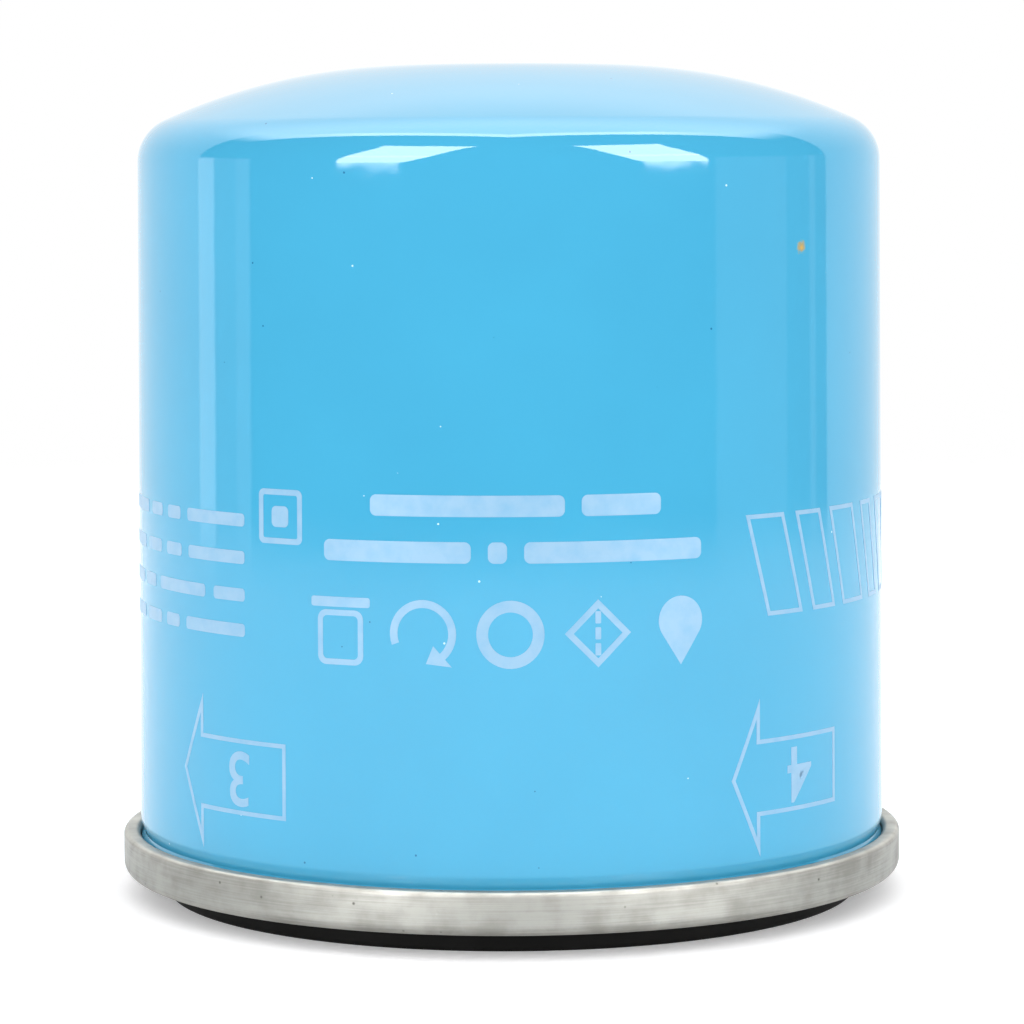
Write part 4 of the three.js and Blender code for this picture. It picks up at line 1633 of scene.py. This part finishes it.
# ---- the studio ----
@dataclass
class Studio:
    """Plain pale floor, plain soft light and the camera.

    The white surround lights the filter evenly. Reflections see it in more detail: an unlit
    side towards the camera with two tilted soft boxes, white screens at both sides and
    behind, and a wide soft panel overhead. Bearings and heights over the horizon are in
    degrees, and brightnesses are shares of plain white.
    """

    lens: float = 137.6
    sensor: float = 36.0
    distance: float = 399.7
    eye: float = 75.65
    pitch: float = 5.316
    roll: float = 0.26
    aside: float = 0.35
    floor_radius: float = 560.0
    floor_drop: float = 0.02  # keeps the floor just clear of the gasket's face
    room: float = 0.08  # the unlit side's brightness in reflections
    screen: float = 1.0  # the white screens'
    screen_rise: float = 1.1  # how much brighter the screens are high up
    screen_edges: Point = (-109.0, 113.0)  # bearings where the screens start, left and right
    edge_soft: float = 0.8  # half the width of each soft edge, in degrees
    strips: tuple[tuple[float, float, float], ...] = (  # start, end and brightness of each
        (-109.0, -101.0, 1.9),
        (-101.0, -91.0, 0.5),
        (-91.0, -85.0, 0.8),
        (65.0, 93.0, 0.45),
        (93.0, 113.0, 0.15),
        (104.0, 107.0, 0.35),
    )
    box: float = 11.0  # the soft boxes' brightness
    box_top: float = 36.0
    box_lean: float = 10.0  # how far the outer end leans outwards at the top
    boxes: tuple[tuple[float, float, float], ...] = (  # outer end, start of climb, inner end
        (-53.0, -34.0, -7.0),
        (62.5, 42.0, 19.0),
    )
    panel: float = 5.0  # the overhead panel's, over the filter and in front of it
    panel_far: float = 2.0  # the same panel's, behind the filter
    panel_rim: float = 4.0  # how much brighter its front edge is
    panel_front: float = 0.62  # how far forward it reaches, as a share of its height
    panel_taper: float = 0.55  # how much less it reaches forward, for each step aside
    fill: float = 0.88  # the even light's strength
    key: float = 0.62  # how much more of it comes from the camera's side
    lamp_size: Point = (1200.0, 1000.0)
    lamp_place: tuple[float, float, float] = (0.0, -150.0, 1100.0)
    lamp_power: float = 0.5  # watts

    def build(self) -> None:
        """Sets the floor, the light and the camera."""
        self.floor()
        self.surround()
        self.lamp()
        self.camera()

    def floor(self) -> None:
        """Lays the floor, a wide disc whose paint fades out towards its edge."""
        form = filled([arc((0, 0), self.floor_radius, 0, 360, 3.0)[:-1]])
        bmesh.ops.translate(form, vec=(0, 0, -self.floor_drop), verts=form.verts[:])
        piece = settle(form, "floor")
        if piece.data.polygons[0].normal.z < 0:
            piece.data.flip_normals()
        piece.data.materials.append(PAINT.material())

    def wire(self, tree: Tree, known: dict[str, Level], steps: Iterable[Step]) -> None:
        """Adds one node for each step of a sum.

        Args:
            tree: The world's nodes.
            known: The values so far, by name. Each step adds its own result.
            steps: (name of the result, operation, values) of each step, where a value is a
                number or the name of a known one. "FADE" goes smoothly from 0 to 1 as its
                first value goes from the second to the third.
        """
        for name, operation, *values in steps:
            taken = {i: known.get(value, value) for i, value in enumerate(values)}
            if operation == "FADE":
                node = add(tree, "MapRange", taken, interpolation_type="SMOOTHSTEP")
            else:
                node = add(tree, "Math", taken, operation=operation)
            known[name] = node.outputs[0]

    def screens(self) -> list[Step]:
        """The white screens at both sides and behind, and the strips at their front edges.

        Returns:
            The steps that give "white" and "edging".
        """
        soft = self.edge_soft
        left, right = self.screen_edges
        steps: list[Step] = [
            ("left", "FADE", "bearing", left + soft, left - soft),
            ("right", "FADE", "bearing", right - soft, right + soft),
            ("sides", "ADD", "left", "right"),
            ("up", "FADE", "rise", 8.0, 52.0),
            ("screen", "MULTIPLY_ADD", "up", self.screen_rise, self.screen),
            ("white", "MULTIPLY", "sides", "screen"),
        ]
        for start, end, level in self.strips:
            steps += [
                ("in", "FADE", "bearing", start - soft, start + soft),
                ("out", "FADE", "bearing", end + soft, end - soft),
                ("strip", "MULTIPLY", "in", "out"),
                ("strips", "MULTIPLY_ADD", "strip", level, "strips"),
            ]
        return steps + [
            ("down", "FADE", "rise", 9.0, 5.0),
            ("edging", "MULTIPLY", "strips", "down"),
        ]

    def overhead(self) -> list[Step]:
        """The wide panel overhead, whose front edge is brighter and drops back at the sides.

        Returns:
            The steps that give "over", where the panel is, and "panel", its brightness there.
        """
        return [
            ("reach", "MULTIPLY_ADD", "aside", self.panel_taper, "toward"),
            ("edge", "MULTIPLY_ADD", "z", -self.panel_front, "reach"),
            ("within", "FADE", "edge", 0.02, -0.02),
            ("high", "FADE", "rise", 30.0, 45.0),
            ("over", "MULTIPLY", "within", "high"),
            ("back", "FADE", "y", 0.0, 0.7),
            ("panel", "MULTIPLY_ADD", "back", self.panel_far - self.panel, self.panel),
            ("front", "FADE", "edge", -0.18, -0.12),
            ("centre", "FADE", "aside", 0.75, 0.45),
            ("rim", "MULTIPLY", "front", "centre"),
            ("panel", "MULTIPLY_ADD", "rim", self.panel_rim, "panel"),
        ]

    def soft_box(self, outer: float, taper: float, inner: float) -> list[Step]:
        """One tilted soft box, from the horizon up, with a brighter seam across it.

        Args:
            outer: The bearing of the box's outer end.
            taper: The bearing where its lower edge starts to climb towards the centre.
            inner: The bearing where the lower edge meets the top.

        Returns:
            The steps that add the box to "lights".
        """
        way = 1 if outer > 0 else -1
        top, soft = self.box_top, self.edge_soft
        return [
            ("up", "FADE", "rise", 2.0, top),
            ("leant", "MULTIPLY_ADD", "up", way * self.box_lean, "bearing"),
            ("inside", "FADE", "leant", outer + way * 0.6, outer - way * 0.6),
            ("climb", "FADE", "bearing", taper, inner),
            ("over_foot", "MULTIPLY_ADD", "climb", -top, "rise"),
            ("foot", "FADE", "over_foot", 1.2, 1.8),
            ("head", "FADE", "rise", top + soft, top - soft),
            ("seam_foot", "FADE", "rise", 11.6, 12.4),
            ("seam_head", "FADE", "rise", 13.8, 13.0),
            ("seam", "MULTIPLY", "seam_foot", "seam_head"),
            ("bright", "MULTIPLY_ADD", "seam", 0.5 * self.box, self.box),
            ("window", "MULTIPLY", "inside", "foot"),
            ("window", "MULTIPLY", "window", "head"),
            ("lights", "MULTIPLY_ADD", "window", "bright", "lights"),
        ]

    def surround(self) -> None:
        """Even light from all round, and what reflections see of the studio."""
        world = bpy.data.worlds.new("studio")
        bpy.context.scene.world = world
        world.use_nodes = True
        tree = world.node_tree
        tree.nodes.clear()
        way = add(tree, "SeparateXYZ", {0: add(tree, "TexCoord").outputs["Generated"]})
        known: dict[str, Level] = dict(zip("xyz", way.outputs))
        known |= {"strips": 0.0}
        steps: list[Step] = [
            ("toward", "MULTIPLY", "y", -1.0),
            ("aside", "ABSOLUTE", "x"),
            ("turn", "ARCTAN2", "x", "toward"),
            ("bearing", "DEGREES", "turn"),
            ("height", "ARCSINE", "z"),
            ("rise", "DEGREES", "height"),
            *self.screens(),
            *self.overhead(),
            ("beyond", "SUBTRACT", 1.0, "over"),
            ("lights", "ADD", "edging", self.room),
            ("lights", "MULTIPLY_ADD", "white", "beyond", "lights"),
            ("lights", "MULTIPLY_ADD", "over", "panel", "lights"),
        ]
        for outer, taper, inner in self.boxes:
            steps += self.soft_box(outer, taper, inner)
        steps += [
            ("facing", "FADE", "toward", -0.2, 1.0),
            ("even", "MULTIPLY_ADD", "facing", self.key, self.fill),
        ]
        self.wire(tree, known, steps)
        path = add(tree, "LightPath")
        mixed = {0: path.outputs["Is Glossy Ray"], 2: known["even"], 3: known["lights"]}
        light = add(tree, "Mix", mixed).outputs[0]
        plain = {0: path.outputs["Is Camera Ray"], 2: light, 3: 1.0}
        strength = add(tree, "Mix", plain).outputs[0]
        white = {"Color": (1.0, 1.0, 1.0, 1.0), "Strength": strength}
        back = add(tree, "Background", white)
        add(tree, "OutputWorld", {0: back.outputs[0]})
        world.cycles.sampling_method = "NONE"

    def lamp(self) -> None:
        """Hangs one large soft panel over the filter, a little to the front."""
        panel = bpy.data.lights.new("overhead_panel", "AREA")
        panel.shape, panel.energy = "RECTANGLE", self.lamp_power
        panel.size, panel.size_y = (side * MM for side in self.lamp_size)
        holder = bpy.data.objects.new("overhead_panel", panel)
        holder.location = Vector(self.lamp_place) * MM
        holder.visible_glossy = False
        holder.visible_camera = False
        bpy.context.scene.collection.objects.link(holder)

    def camera(self) -> None:
        """Stands the camera just below the crown's height, looking slightly down."""
        eye = bpy.data.cameras.new("camera")
        eye.lens, eye.sensor_width = self.lens, self.sensor
        eye.clip_start, eye.clip_end = 0.01, 20
        holder = bpy.data.objects.new("camera", eye)
        holder.location = Vector((self.aside, -self.distance, self.eye)) * MM
        holder.rotation_euler = (math.radians(90 - self.pitch), 0, 0)
        holder.rotation_euler.rotate(Euler((0, math.radians(self.roll), 0)))
        bpy.context.scene.collection.objects.link(holder)
        bpy.context.scene.camera = holder


def main() -> None:
    """Builds every sub-assembly in order."""
    logging.basicConfig(level=logging.INFO, format="%(name)s %(message)s")
    bpy.context.scene.view_settings.view_transform = "Standard"
    Studio().build()
    can = DrawnCan()
    can.build()
    SeamedLid().build()
    SealingGasket().build()
    TappingPlate().build()
    AntiDrainValve().build()
    HoldDownSpring().build()
    FilterElement().build()
    BypassValve().build()
    CanPrint(can).build()


if __name__ == "__main__":
    main()
